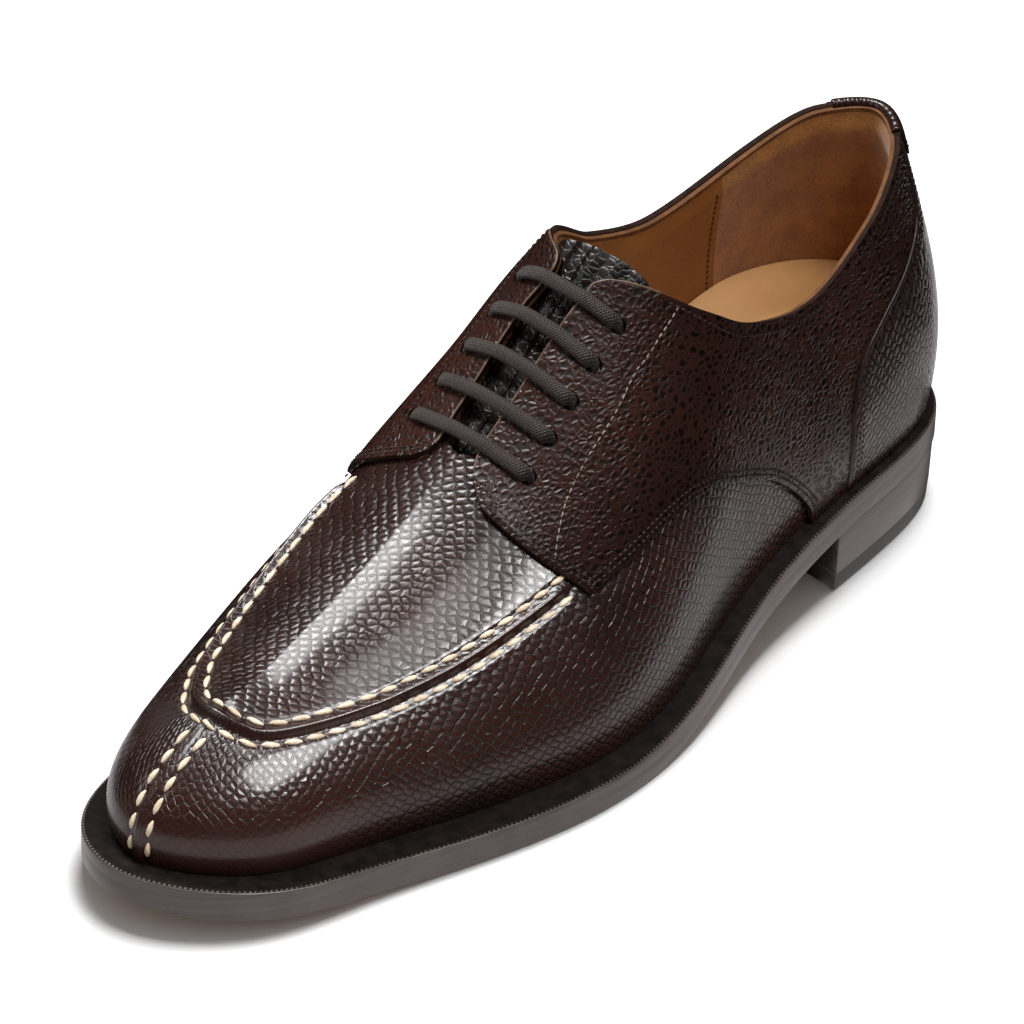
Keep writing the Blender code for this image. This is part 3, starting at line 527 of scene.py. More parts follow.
class Workshop:
    """Makes meshes from primitives and finishes them with modifiers."""

    @staticmethod
    def begin() -> None:
        """Leave object mode's selection empty."""
        if bpy.context.mode != "OBJECT":
            bpy.ops.object.mode_set(mode="OBJECT")
        bpy.ops.object.select_all(action="DESELECT")

    @staticmethod
    def name(thing: Thing, name: str) -> Thing:
        """Name an object and its mesh."""
        thing.name = name
        thing.data.name = name
        return thing

    @classmethod
    def sheet(cls, name: str, points: Array) -> Thing:
        """Grid primitive whose vertices are laid on an array of points.

        Args:
            name: Name of the piece.
            points: Array (rows, columns, 3) in millimetres of the shoe.

        Returns:
            The new object, facing outwards where columns go round and rows go up.
        """
        cls.begin()
        rows, columns = points.shape[:2]
        bpy.ops.mesh.primitive_grid_add(x_subdivisions=columns - 1, y_subdivisions=rows - 1, size=2.0)
        thing = cls.name(bpy.context.object, name)
        flat = cls.spots(thing)
        column = np.rint((flat[:, 0] + 1.0) / 2.0 * (columns - 1)).astype(int)
        row = np.rint((flat[:, 1] + 1.0) / 2.0 * (rows - 1)).astype(int)
        thing.data.vertices.foreach_set("co", LAST.place(points)[row, column].ravel())
        thing.data.flip_normals()
        thing.data.update()
        return thing

    @classmethod
    def ring(cls, name: str, points: Array) -> Thing:
        """Torus primitive whose vertices are laid on an array of points.

        Args:
            name: Name of the piece.
            points: Array (round, profile, 3) in millimetres of the shoe, closed both ways.

        Returns:
            The new object.
        """
        cls.begin()
        rounds, profile = points.shape[:2]
        bpy.ops.mesh.primitive_torus_add(major_segments=rounds, minor_segments=profile)
        thing = cls.name(bpy.context.object, name)
        thing.data.vertices.foreach_set("co", LAST.place(points).reshape(-1))
        thing.data.update()
        return thing

    @classmethod
    def plate(cls, name: str, outline: Array, stations: Sequence[float]) -> Thing:
        """Circle primitive shaped to a plan outline, extruded to unit height and cut across.

        Args:
            name: Name of the piece.
            outline: Points (across, from_heel) of the plan in millimetres, in order.
            stations: Distances from the heel where the plate is cut across.

        Returns:
            The new object in shoe millimetres, its levels 0 and 1.
        """
        cls.begin()
        bpy.ops.mesh.primitive_circle_add(vertices=len(outline), radius=1.0, fill_type="NGON")
        thing = cls.name(bpy.context.object, name)
        flat = np.concatenate([outline, np.zeros((len(outline), 1))], axis=1)
        thing.data.vertices.foreach_set("co", flat.ravel())
        thing.data.update()
        bpy.ops.object.mode_set(mode="EDIT")
        bpy.ops.mesh.select_all(action="SELECT")
        bpy.ops.mesh.extrude_region_move(TRANSFORM_OT_translate={"value": (0.0, 0.0, 1.0)})
        for station in stations:
            bpy.ops.mesh.select_all(action="SELECT")
            bpy.ops.mesh.bisect(plane_co=(0.0, station, 0.0), plane_no=(0.0, 1.0, 0.0))
        bpy.ops.mesh.select_all(action="SELECT")
        bpy.ops.mesh.normals_make_consistent(inside=False)
        bpy.ops.object.mode_set(mode="OBJECT")
        return thing

    @staticmethod
    def spots(thing: Thing) -> Array:
        """Places of a mesh's vertices.

        Args:
            thing: The piece.

        Returns:
            An array (vertices, 3).
        """
        flat = np.empty(len(thing.data.vertices) * 3)
        thing.data.vertices.foreach_get("co", flat)
        return flat.reshape(-1, 3)

    @classmethod
    def reshape(cls, thing: Thing, change: Callable[[Array], Array]) -> None:
        """Move a mesh's vertices by a function of their places."""
        thing.data.vertices.foreach_set("co", change(cls.spots(thing)).ravel())
        thing.data.update()

    @staticmethod
    def tilts(thing: Thing) -> Array:
        """Upward part of each face's normal.

        Args:
            thing: The piece.

        Returns:
            An array with a number for each face.
        """
        facing = np.empty(len(thing.data.polygons) * 3)
        thing.data.polygons.foreach_get("normal", facing)
        return facing.reshape(-1, 3)[:, 2]

    @staticmethod
    def choose(thing: Thing, chosen: Array) -> None:
        """Give each face the number of its material."""
        thing.data.polygons.foreach_set("material_index", np.asarray(chosen, dtype=np.int32).ravel())

    @staticmethod
    def discard(thing: Thing) -> None:
        """Remove a helper object with its mesh."""
        spare = thing.data
        bpy.data.objects.remove(thing)
        bpy.data.meshes.remove(spare)

    @staticmethod
    def apply(thing: Thing, kind: str, **settings: object) -> None:
        """Add a modifier with its settings and apply it."""
        bpy.context.view_layer.objects.active = thing
        modifier = thing.modifiers.new(kind.lower(), kind)
        for key, value in settings.items():
            setattr(modifier, key, value)
        bpy.ops.object.modifier_apply(modifier=modifier.name)

    @classmethod
    def round_edges(cls, thing: Thing, width: float, segments: int, angle: float = 50.0) -> None:
        """Round the edges that are sharper than an angle, by a width in millimetres."""
        cls.apply(thing, "BEVEL", width=width * MM, segments=segments, limit_method="ANGLE",
                  angle_limit=math.radians(angle))

    @classmethod
    def thicken(cls, thing: Thing, thick: float) -> None:
        """Give a sheet its thickness inwards, its rim in the second material."""
        cls.apply(thing, "SOLIDIFY", thickness=thick * MM, offset=-1.0, material_offset_rim=1)

    @classmethod
    def merge(cls, thing: Thing, gap: float = 0.00002, outward: bool = False) -> None:
        """Merge doubled vertices, and turn a closed shell's faces outwards if asked."""
        cls.begin()
        thing.select_set(True)
        bpy.context.view_layer.objects.active = thing
        bpy.ops.object.mode_set(mode="EDIT")
        bpy.ops.mesh.select_all(action="SELECT")
        bpy.ops.mesh.remove_doubles(threshold=gap)
        if outward:
            bpy.ops.mesh.normals_make_consistent(inside=False)
        bpy.ops.object.mode_set(mode="OBJECT")

    @classmethod
    def smooth(cls, thing: Thing, angle: float = 40.0) -> None:
        """Shade smooth except across sharp edges."""
        cls.begin()
        thing.select_set(True)
        bpy.context.view_layer.objects.active = thing
        bpy.ops.object.shade_smooth_by_angle(angle=math.radians(angle))

    @staticmethod
    def dress(thing: Thing, *materials: Material) -> None:
        """Give a piece its materials."""
        thing.data.materials.clear()
        for material in materials:
            thing.data.materials.append(material)

    @staticmethod
    def paint_uv(thing: Thing, flat: Array) -> None:
        """Write a UV pair for each vertex to the piece's own map."""
        mesh = thing.data
        layer = mesh.uv_layers.active or mesh.uv_layers.new(name="UVMap")
        home = np.empty(len(mesh.loops), dtype=np.int32)
        mesh.loops.foreach_get("vertex_index", home)
        layer.data.foreach_set("uv", flat[home].ravel())

    @staticmethod
    def paint(thing: Thing, name: str, values: Array) -> None:
        """Write a number for each vertex as a named attribute."""
        attribute = thing.data.attributes.new(name, "FLOAT", "POINT")
        attribute.data.foreach_set("value", np.asarray(values, dtype=np.float32))

    @staticmethod
    def settle(thing: Thing, slot: str, *nodes: str) -> None:
        """Ride a finished piece on the shoe and hide the nodes of the frame that it stands for."""
        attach(thing, "root")
        if nodes:
            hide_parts(*nodes)
        LOG.info("%s: %d faces", thing.name, len(thing.data.polygons))


class Board:
    """Adds and links the nodes of one material."""

    def __init__(self, name: str) -> None:
        """Start a material.

        Args:
            name: Name of the material.
        """
        self.material = bpy.data.materials.new(name)
        self.material.use_nodes = True
        self.tree = self.material.node_tree
        self.shader = self.tree.nodes["Principled BSDF"]

    def feed(self, socket: Socket, value: object) -> None:
        """Link a socket, or set its own value."""
        if isinstance(value, Socket):
            self.tree.links.new(value, socket)
        elif isinstance(value, tuple) and len(value) == 3 and socket.type == "RGBA":
            socket.default_value = (*value, 1.0)
        else:
            socket.default_value = value

    def add(self, kind: str, inputs: Optional[dict] = None, **settings: object) -> bpy.types.Node:
        """Add a node.

        Args:
            kind: Type of node.
            inputs: Values or links of its inputs, by name or number.
            settings: Values of its properties.

        Returns:
            The node.
        """
        node = self.tree.nodes.new(kind)
        for key, value in settings.items():
            setattr(node, key, value)
        for key, value in (inputs or {}).items():
            self.feed(node.inputs[key], value)
        return node

    def sums(self, operation: str, first: object, second: object = 0.0) -> Socket:
        """Arithmetic on two numbers."""
        return self.add("ShaderNodeMath", {0: first, 1: second}, operation=operation).outputs[0]

    def span(self, value: object, low: float, high: float, start: float = 0.0,
             end: float = 1.0) -> Socket:
        """Smooth change from start to end as a value goes from low to high."""
        node = self.add("ShaderNodeMapRange", {"Value": value, "From Min": low, "From Max": high,
                                               "To Min": start, "To Max": end},
                        interpolation_type="SMOOTHSTEP")
        return node.outputs["Result"]

    def blend(self, part: object, first: object, second: object) -> Socket:
        """Colour between two colours."""
        node = self.add("ShaderNodeMix", {0: part}, data_type="RGBA")
        self.feed(node.inputs[6], first)
        self.feed(node.inputs[7], second)
        return node.outputs[2]

    def place(self, source: str, scale: tuple, turn: float = 0.0) -> Socket:
        """Coordinates of the piece, turned and then scaled."""
        point = self.add("ShaderNodeTexCoord").outputs[source]
        turned = self.add("ShaderNodeMapping", {"Vector": point, "Rotation": (0.0, 0.0, math.radians(turn))})
        return self.add("ShaderNodeMapping", {"Vector": turned.outputs[0], "Scale": scale}).outputs[0]

    def metres(self) -> Socket:
        """Coordinates of the piece in metres."""
        return self.add("ShaderNodeTexCoord").outputs["Object"]

    def weigh(self, first: object, part: object, second: object, rest: object) -> Socket:
        """Sum of two numbers, each times its weight."""
        return self.sums("ADD", self.sums("MULTIPLY", first, part), self.sums("MULTIPLY", second, rest))

    def noise(self, point: object, scale: float, detail: float = 2.0,
              rough: float = 0.5) -> Socket:
        """Cloudy number about one half."""
        node = self.add("ShaderNodeTexNoise", {"Vector": point, "Scale": scale, "Detail": detail,
                                               "Roughness": rough})
        return node.outputs[0]

    def finish(self, colour: object, roughness: object, height: object = None, depth: float = 0.3,
               **constants: float) -> Material:
        """Feed the shader.

        Args:
            colour: Base colour or its link.
            roughness: Roughness or its link.
            height: Link of a bump's height, 0 to 1.
            depth: Millimetres that a height of 1 stands for.
            constants: Values of other sockets, with _ for a space.

        Returns:
            The material.
        """
        self.feed(self.shader.inputs["Base Color"], colour)
        self.feed(self.shader.inputs["Roughness"], roughness)
        if height is not None:
            bump = self.add("ShaderNodeBump", {"Strength": 1.0, "Distance": depth * MM, "Height": height})
            self.feed(self.shader.inputs["Normal"], bump.outputs[0])
        for key, value in constants.items():
            self.shader.inputs[key.replace("_", " ")].default_value = value
        return self.material


class Grain(Enum):
    """How a leather's cells are laid out."""

    HATCH = "UV"
    PEBBLE = "Object"


@dataclass(frozen=True)
class Leather:
    """Embossed glossy leather with raised cells, its grooves darkened by painted shade."""

    name: str
    grain: Grain = Grain.PEBBLE
    # Painted shade: colour of the grooves (of the pits when pitted), darker than the cell tops
    groove_shade: Colour = (0.0028, 0.0014, 0.0012)
    high: Colour = (0.0125, 0.0050, 0.0040)
    warm: Colour = (0.0230, 0.0074, 0.0050)
    cell_long: float = 2.9
    cell_wide: float = 2.1
    turn: float = 40.0
    scatter: float = 0.42
    sway: float = 0.8
    groove: float = 0.13
    depth: float = 0.26
    roughness: float = 0.27
    coat: float = 0.25
    pitted: bool = False
    gleam: float = 0.36

    def material(self) -> Material:
        """Nodes of the leather."""
        board = Board(self.name)
        unit_scale = 1.0 if self.grain is Grain.HATCH else 1000.0
        scale = (unit_scale / self.cell_long, unit_scale / self.cell_wide, unit_scale / self.cell_wide)
        point = board.place(self.grain.value, scale, self.turn)
        sway = board.add("ShaderNodeTexNoise", {"Vector": point, "Scale": 0.35, "Detail": 2.0})
        lean = board.add("ShaderNodeVectorMath", {0: sway.outputs["Color"], 1: (0.5, 0.5, 0.5)},
                         operation="SUBTRACT")
        moved = board.add("ShaderNodeVectorMath", {0: lean.outputs[0], 1: (self.sway,) * 3, 2: point},
                          operation="MULTIPLY_ADD")
        cells = self.cells(board, moved.outputs[0], 1.0)
        if self.grain is Grain.PEBBLE:
            facing = board.add("ShaderNodeAttribute", attribute_name="facing").outputs["Fac"]
            large = self.cells(board, moved.outputs[0], 0.85)
            cells = board.weigh(cells, board.sums("SUBTRACT", 1.0, facing), large, facing)
        raised = board.span(cells, 0.0, self.groove)
        crown = board.span(cells, 0.0, 0.45)
        if self.pitted:
            raised = board.span(cells, 0.02, self.groove, 1.0, 0.0)
            crown = raised
        metres = board.metres()
        fine = board.noise(metres, 1900.0, 3.0, 0.6)
        broad = board.noise(metres, 24.0, 2.0)
        patch = board.noise(metres, 90.0, 3.0)
        polish = board.add("ShaderNodeAttribute", attribute_name="polish").outputs["Fac"]
        rough_part = board.sums("SUBTRACT", 1.0, polish)
        dome = board.weigh(raised, 0.6, crown, 0.4)
        cell_height = board.sums("MULTIPLY", dome, rough_part)
        fine_height = board.sums("MULTIPLY", fine, 0.14)
        height = board.sums("ADD", cell_height, fine_height)
        shade = board.blend(board.span(broad, 0.35, 0.68), self.high, self.warm)
        # Colour falls to the painted groove shade where the cells dip, and keeps the top colour where the
        # leather is polished
        unshaded_part = board.sums("MAXIMUM", raised, polish)
        colour = board.blend(unshaded_part, self.groove_shade, shade)
        gloss = board.sums("ADD", board.span(patch, 0.3, 0.7, self.roughness - 0.05, self.roughness + 0.06),
                           board.span(raised, 0.0, 1.0, 0.16, 0.0))
        return board.finish(colour, gloss, height, self.depth, Coat_Weight=self.coat, Coat_Roughness=0.14,
                            Specular_IOR_Level=self.gleam)

    def cells(self, board: Board, point: Socket, scale: float) -> Socket:
        """Distance from the nearest groove, in cells."""
        flat = "2D" if self.grain is Grain.HATCH else "3D"
        inputs = {"Vector": point, "Scale": scale, "Randomness": self.scatter}
        node = board.add("ShaderNodeTexVoronoi", inputs, feature="DISTANCE_TO_EDGE", voronoi_dimensions=flat)
        return node.outputs["Distance"]


@dataclass(frozen=True)
class PlainLeather:
    """Smooth leather with faint grain, for linings, edges, welt and sole."""

    name: str
    light: Colour
    dark: Colour
    scale: float
    roughness: float
    pore: float = 900.0
    depth: float = 0.10
    coat: float = 0.0
    gleam: float = 0.5

    def material(self) -> Material:
        """Nodes of the leather."""
        board = Board(self.name)
        metres = board.metres()
        cloud = board.noise(metres, self.scale, 4.0, 0.6)
        pores = board.noise(metres, self.pore, 4.0, 0.65)
        colour = board.blend(board.span(cloud, 0.3, 0.7), self.dark, self.light)
        gloss = board.span(pores, 0.3, 0.7, self.roughness - 0.06, self.roughness + 0.08)
        return board.finish(colour, gloss, pores, self.depth, Coat_Weight=self.coat, Coat_Roughness=0.3,
                            Specular_IOR_Level=self.gleam)


@dataclass(frozen=True)
class Suede:
    """Napped leather of the heel lining."""

    name: str = "heel_lining_suede"
    light: Colour = (0.350, 0.146, 0.036)
    dark: Colour = (0.220, 0.084, 0.020)

    def material(self) -> Material:
        """Nodes of the nap."""
        board = Board(self.name)
        metres = board.metres()
        nap = board.noise(metres, 1500.0, 3.0, 0.7)
        brush = board.noise(metres, 130.0, 4.0, 0.6)
        tone = board.weigh(nap, 0.5, brush, 0.5)
        colour = board.blend(board.span(tone, 0.36, 0.64), self.dark, self.light)
        return board.finish(colour, 0.95, nap, 0.35, Sheen_Weight=0.25, Sheen_Roughness=0.5,
                            Specular_IOR_Level=0.15)


@dataclass(frozen=True)
class Thread:
    """Twisted waxed thread of the stitches."""

    name: str
    light: Colour = (0.60, 0.50, 0.38)
    dark: Colour = (0.34, 0.24, 0.15)
    roughness: float = 0.55

    def material(self) -> Material:
        """Nodes of the thread."""
        board = Board(self.name)
        metres = board.metres()
        fibre = board.noise(metres, 1600.0, 3.0, 0.6)
        soil = board.noise(metres, 260.0, 2.0)
        tone = board.weigh(fibre, 0.55, soil, 0.45)
        colour = board.blend(board.span(tone, 0.34, 0.6), self.dark, self.light)
        return board.finish(colour, self.roughness, fibre, 0.12)


@dataclass(frozen=True)
class Weave:
    """Flat woven waxed lace, its pattern laid along the lace's own map in millimetres."""

    name: str = "lace_weave"
    light: Colour = (0.046, 0.026, 0.018)
    dark: Colour = (0.006, 0.0034, 0.0026)
    pitch: float = 0.62

    def material(self) -> Material:
        """Nodes of the weave: two crossing sets of yarns."""
        board = Board(self.name)
        heights = []
        for turn in (33.0, -33.0):
            point = board.place("UV", (1.0 / self.pitch, 1.0 / self.pitch, 1.0), turn)
            wave = board.add("ShaderNodeTexWave", {"Vector": point, "Scale": 0.3142, "Distortion": 0.6,
                                                   "Detail": 1.0}, wave_type="BANDS")
            heights.append(wave.outputs["Fac"])
        woven = board.sums("MAXIMUM", heights[0], heights[1])
        metres = board.metres()
        fibre = board.noise(metres, 1400.0, 3.0, 0.6)
        # Colour lighter on the yarns' crests and darker where they dip: painted highlight and painted shade
        # of the weave
        tone = board.sums("MULTIPLY", woven, board.span(fibre, 0.25, 0.7, 0.55, 1.0))
        colour = board.blend(board.span(tone, 0.25, 0.95), self.dark, self.light)
        return board.finish(colour, 0.58, board.sums("ADD", woven, board.sums("MULTIPLY", fibre, 0.4)), 0.22,
                            Sheen_Weight=0.1, Sheen_Roughness=0.4)


@dataclass(frozen=True)
class EdgeDress:
    """Waxed dressing of sole edges, with faint lines along the layers."""

    name: str
    light: Colour
    dark: Colour
    roughness: float = 0.42
    coat: float = 0.15

    def material(self) -> Material:
        """Nodes of the dressing."""
        board = Board(self.name)
        layers = board.place("Object", (14.0, 14.0, 900.0))
        lines = board.noise(layers, 1.0, 3.0, 0.6)
        metres = board.metres()
        cloud = board.noise(metres, 70.0, 4.0, 0.6)
        tone = board.weigh(lines, 0.5, cloud, 0.5)
        colour = board.blend(board.span(tone, 0.34, 0.66), self.dark, self.light)
        gloss = board.span(cloud, 0.3, 0.7, self.roughness - 0.06, self.roughness + 0.08)
        return board.finish(colour, gloss, lines, 0.10, Coat_Weight=self.coat, Coat_Roughness=0.3)


@dataclass(frozen=True)
class StitchSize:
    """Sizes of one kind of stitch in millimetres."""

    length: float
    gap: float
    width: float
    thick: float
    slant: float = 0.0


CREAM_STITCH = StitchSize(4.9, 0.75, 1.55, 1.45, 0.10)
FINE_STITCH = StitchSize(1.35, 0.4, 0.6, 0.55)
FACING_STITCH = StitchSize(1.6, 0.5, 0.45, 0.4)
WELT_STITCH = StitchSize(1.0, 0.3, 0.75, 0.55)


class Stitcher:
    """Sews rows of stitches, each a copy of one shaped stitch, and joins them."""

    def __init__(self, name: str, size: StitchSize) -> None:
        """Model one stitch lying along x.

        Args:
            name: Name of the joined rows.
            size: Sizes of the stitch.
        """
        self.name = name
        self.size = size
        Workshop.begin()
        bpy.ops.mesh.primitive_uv_sphere_add(segments=7, ring_count=6, radius=1.0)
        ball = bpy.context.object
        flat = Workshop.spots(ball)
        along = flat[:, 2]
        swell = 1.0 - 0.25 * along ** 2
        self.shape = np.stack([along * size.length / 2.0,
                               flat[:, 0] * swell * size.width / 2.0 + along * size.slant * size.length / 2.0,
                               flat[:, 1] * swell * size.thick / 2.0 - 0.30 * size.thick * along ** 4],
                              axis=1)
        self.faces = [tuple(face.vertices) for face in ball.data.polygons]
        Workshop.discard(ball)
        self.verts: list = []
        self.polys: list = []
        self.count = 0

    def sew(self, points: Array, normals: Array) -> None:
        """Sew one row.

        Args:
            points: Path of the row in millimetres of the shoe.
            normals: Outward normals along it.
        """
        arc = arc_length(points)
        pitch = self.size.length + self.size.gap
        count = int(arc[-1] // pitch)
        if count < 1:
            return
        centres = (np.arange(count) + 0.5) * arc[-1] / count
        ways = unit(np.gradient(points, axis=0))
        for centre in centres:
            spots = np.clip(centre + self.shape[:, 0], 0.0, arc[-1])
            here = along_path(spots, arc, points)
            up = unit(along_path(spots, arc, normals))
            way = unit(along_path(spots, arc, ways))
            side = np.cross(up, way)
            self.verts.append(here + side * self.shape[:, 1:2] + up * self.shape[:, 2:3])
            base = self.count * len(self.shape)
            self.polys.extend(tuple(base + corner for corner in face) for face in self.faces)
            self.count += 1

    def row(self, share: Array, level: Array, offset: Array) -> None:
        """Sew one row given on the last's sections."""
        points, normals = LAST.frame(np.asarray(share, float), np.asarray(level, float))
        offset = np.broadcast_to(np.asarray(offset, float), points.shape[:1])
        self.sew(points + normals * offset[:, None], normals)

    def finish(self, material: Material, slot: str) -> Thing:
        """Join the rows to one piece.

        Args:
            material: Thread of the stitches.
            slot: Material slot, passed on but not used.

        Returns:
            The piece.
        """
        mesh = bpy.data.meshes.new(self.name)
        mesh.from_pydata(LAST.place(np.concatenate(self.verts)).tolist(), [], self.polys)
        thing = bpy.data.objects.new(self.name, mesh)
        bpy.context.scene.collection.objects.link(thing)
        Workshop.merge(thing, 0.000001, outward=True)
        Workshop.smooth(thing, 80.0)
        Workshop.dress(thing, material)
        Workshop.settle(thing, slot)
        return thing


def made(finish: object) -> Material:
    """Field of a material that is made with the finishes."""
    return field(default_factory=finish.material)


@dataclass
class Finishes:
    """Every material of the shoe."""

    vamp: Material = made(Leather("vamp_leather", Grain.HATCH))
    # The third colour of each Leather below is the painted shade of its grooves
    quarter: Material = made(Leather(
        "quarter_leather", Grain.PEBBLE, (0.0060, 0.0026, 0.0022), (0.0270, 0.0105, 0.0080),
        (0.0400, 0.0135, 0.0090), cell_long=2.3, cell_wide=1.65, turn=80.0, scatter=0.9,
        sway=1.3, groove=0.36, depth=0.16, coat=0.10, pitted=True, gleam=0.28))
    counter: Material = made(Leather(
        "counter_leather", Grain.HATCH, (0.0050, 0.0024, 0.0020), (0.0230, 0.0092, 0.0072),
        (0.0340, 0.0120, 0.0084), cell_long=2.9, cell_wide=2.1, turn=38.0))
    # Tongue colours painted far darker than the upper's leather: painted shade of the narrow gap between the
    # facings
    tongue: Material = made(Leather(
        "tongue_leather", Grain.PEBBLE, (0.002, 0.001, 0.001), (0.006, 0.003, 0.0025),
        (0.010, 0.0045, 0.0035), cell_long=2.6, cell_wide=1.9, scatter=1.0, depth=0.10))
    trim: Material = made(PlainLeather(
        "trim_leather", (0.036, 0.018, 0.013), (0.020, 0.010, 0.008), 120.0, roughness=0.38,
        coat=0.25))
    cut_edge: Material = made(PlainLeather(
        "cut_edge", (0.030, 0.013, 0.009), (0.014, 0.007, 0.005), 300.0, roughness=0.8,
        gleam=0.1))
    lining: Material = made(PlainLeather(
        "lining_calf", (0.225, 0.083, 0.0160), (0.185, 0.064, 0.0118), 45.0, roughness=0.5))
    lining_edge: Material = made(PlainLeather(
        "lining_edge", (0.150, 0.062, 0.022), (0.090, 0.036, 0.013), 200.0, roughness=0.8,
        gleam=0.2))
    suede: Material = made(Suede())
    insole: Material = made(PlainLeather(
        "insole_leather", (0.62, 0.340, 0.135), (0.54, 0.285, 0.108), 35.0, roughness=0.5))
    lace: Material = made(Weave())
    cream: Material = made(Thread("cream_thread"))
    dark_thread: Material = made(Thread(
        "dark_thread", (0.020, 0.012, 0.010), (0.006, 0.004, 0.004), 0.5))
    tonal: Material = made(Thread(
        "brown_thread", (0.046, 0.025, 0.018), (0.014, 0.008, 0.006), 0.7))
    pale_thread: Material = made(Thread(
        "pale_thread", (0.34, 0.28, 0.23), (0.14, 0.10, 0.08), 0.5))
    # Pale edge colour: partly the cut edge's own lighter tone, partly a painted highlight on its lit corner
    pale_edge_and_highlight: Material = made(PlainLeather(
        "pale_edge_and_highlight", (0.150, 0.085, 0.056), (0.075, 0.040, 0.026), 300.0, roughness=0.4))
    welt_thread: Material = made(Thread(
        "welt_thread", (0.150, 0.115, 0.095), (0.050, 0.035, 0.029), 0.4))
    # Welt colours: partly the welt's own dark tone, partly painted shade of the shadow under the upper's
    # overhang
    welt: Material = made(PlainLeather(
        "welt_leather", (0.0085, 0.0052, 0.0042), (0.0022, 0.0016, 0.0014), 240.0, roughness=0.7,
        pore=600.0, depth=0.2, gleam=0.10))
    sole: Material = made(EdgeDress(
        "sole_edge", (0.060, 0.046, 0.041), (0.032, 0.024, 0.022)))
    heel: Material = made(EdgeDress(
        "heel_edge", (0.060, 0.045, 0.040), (0.030, 0.022, 0.019)))
    rubber: Material = made(EdgeDress(
        "lift_rubber", (0.030, 0.027, 0.022), (0.014, 0.013, 0.011), 0.6, 0.0))
    tread: Material = made(PlainLeather(
        "tread_leather", (0.23, 0.130, 0.070), (0.17, 0.090, 0.045), 50.0, roughness=0.6))


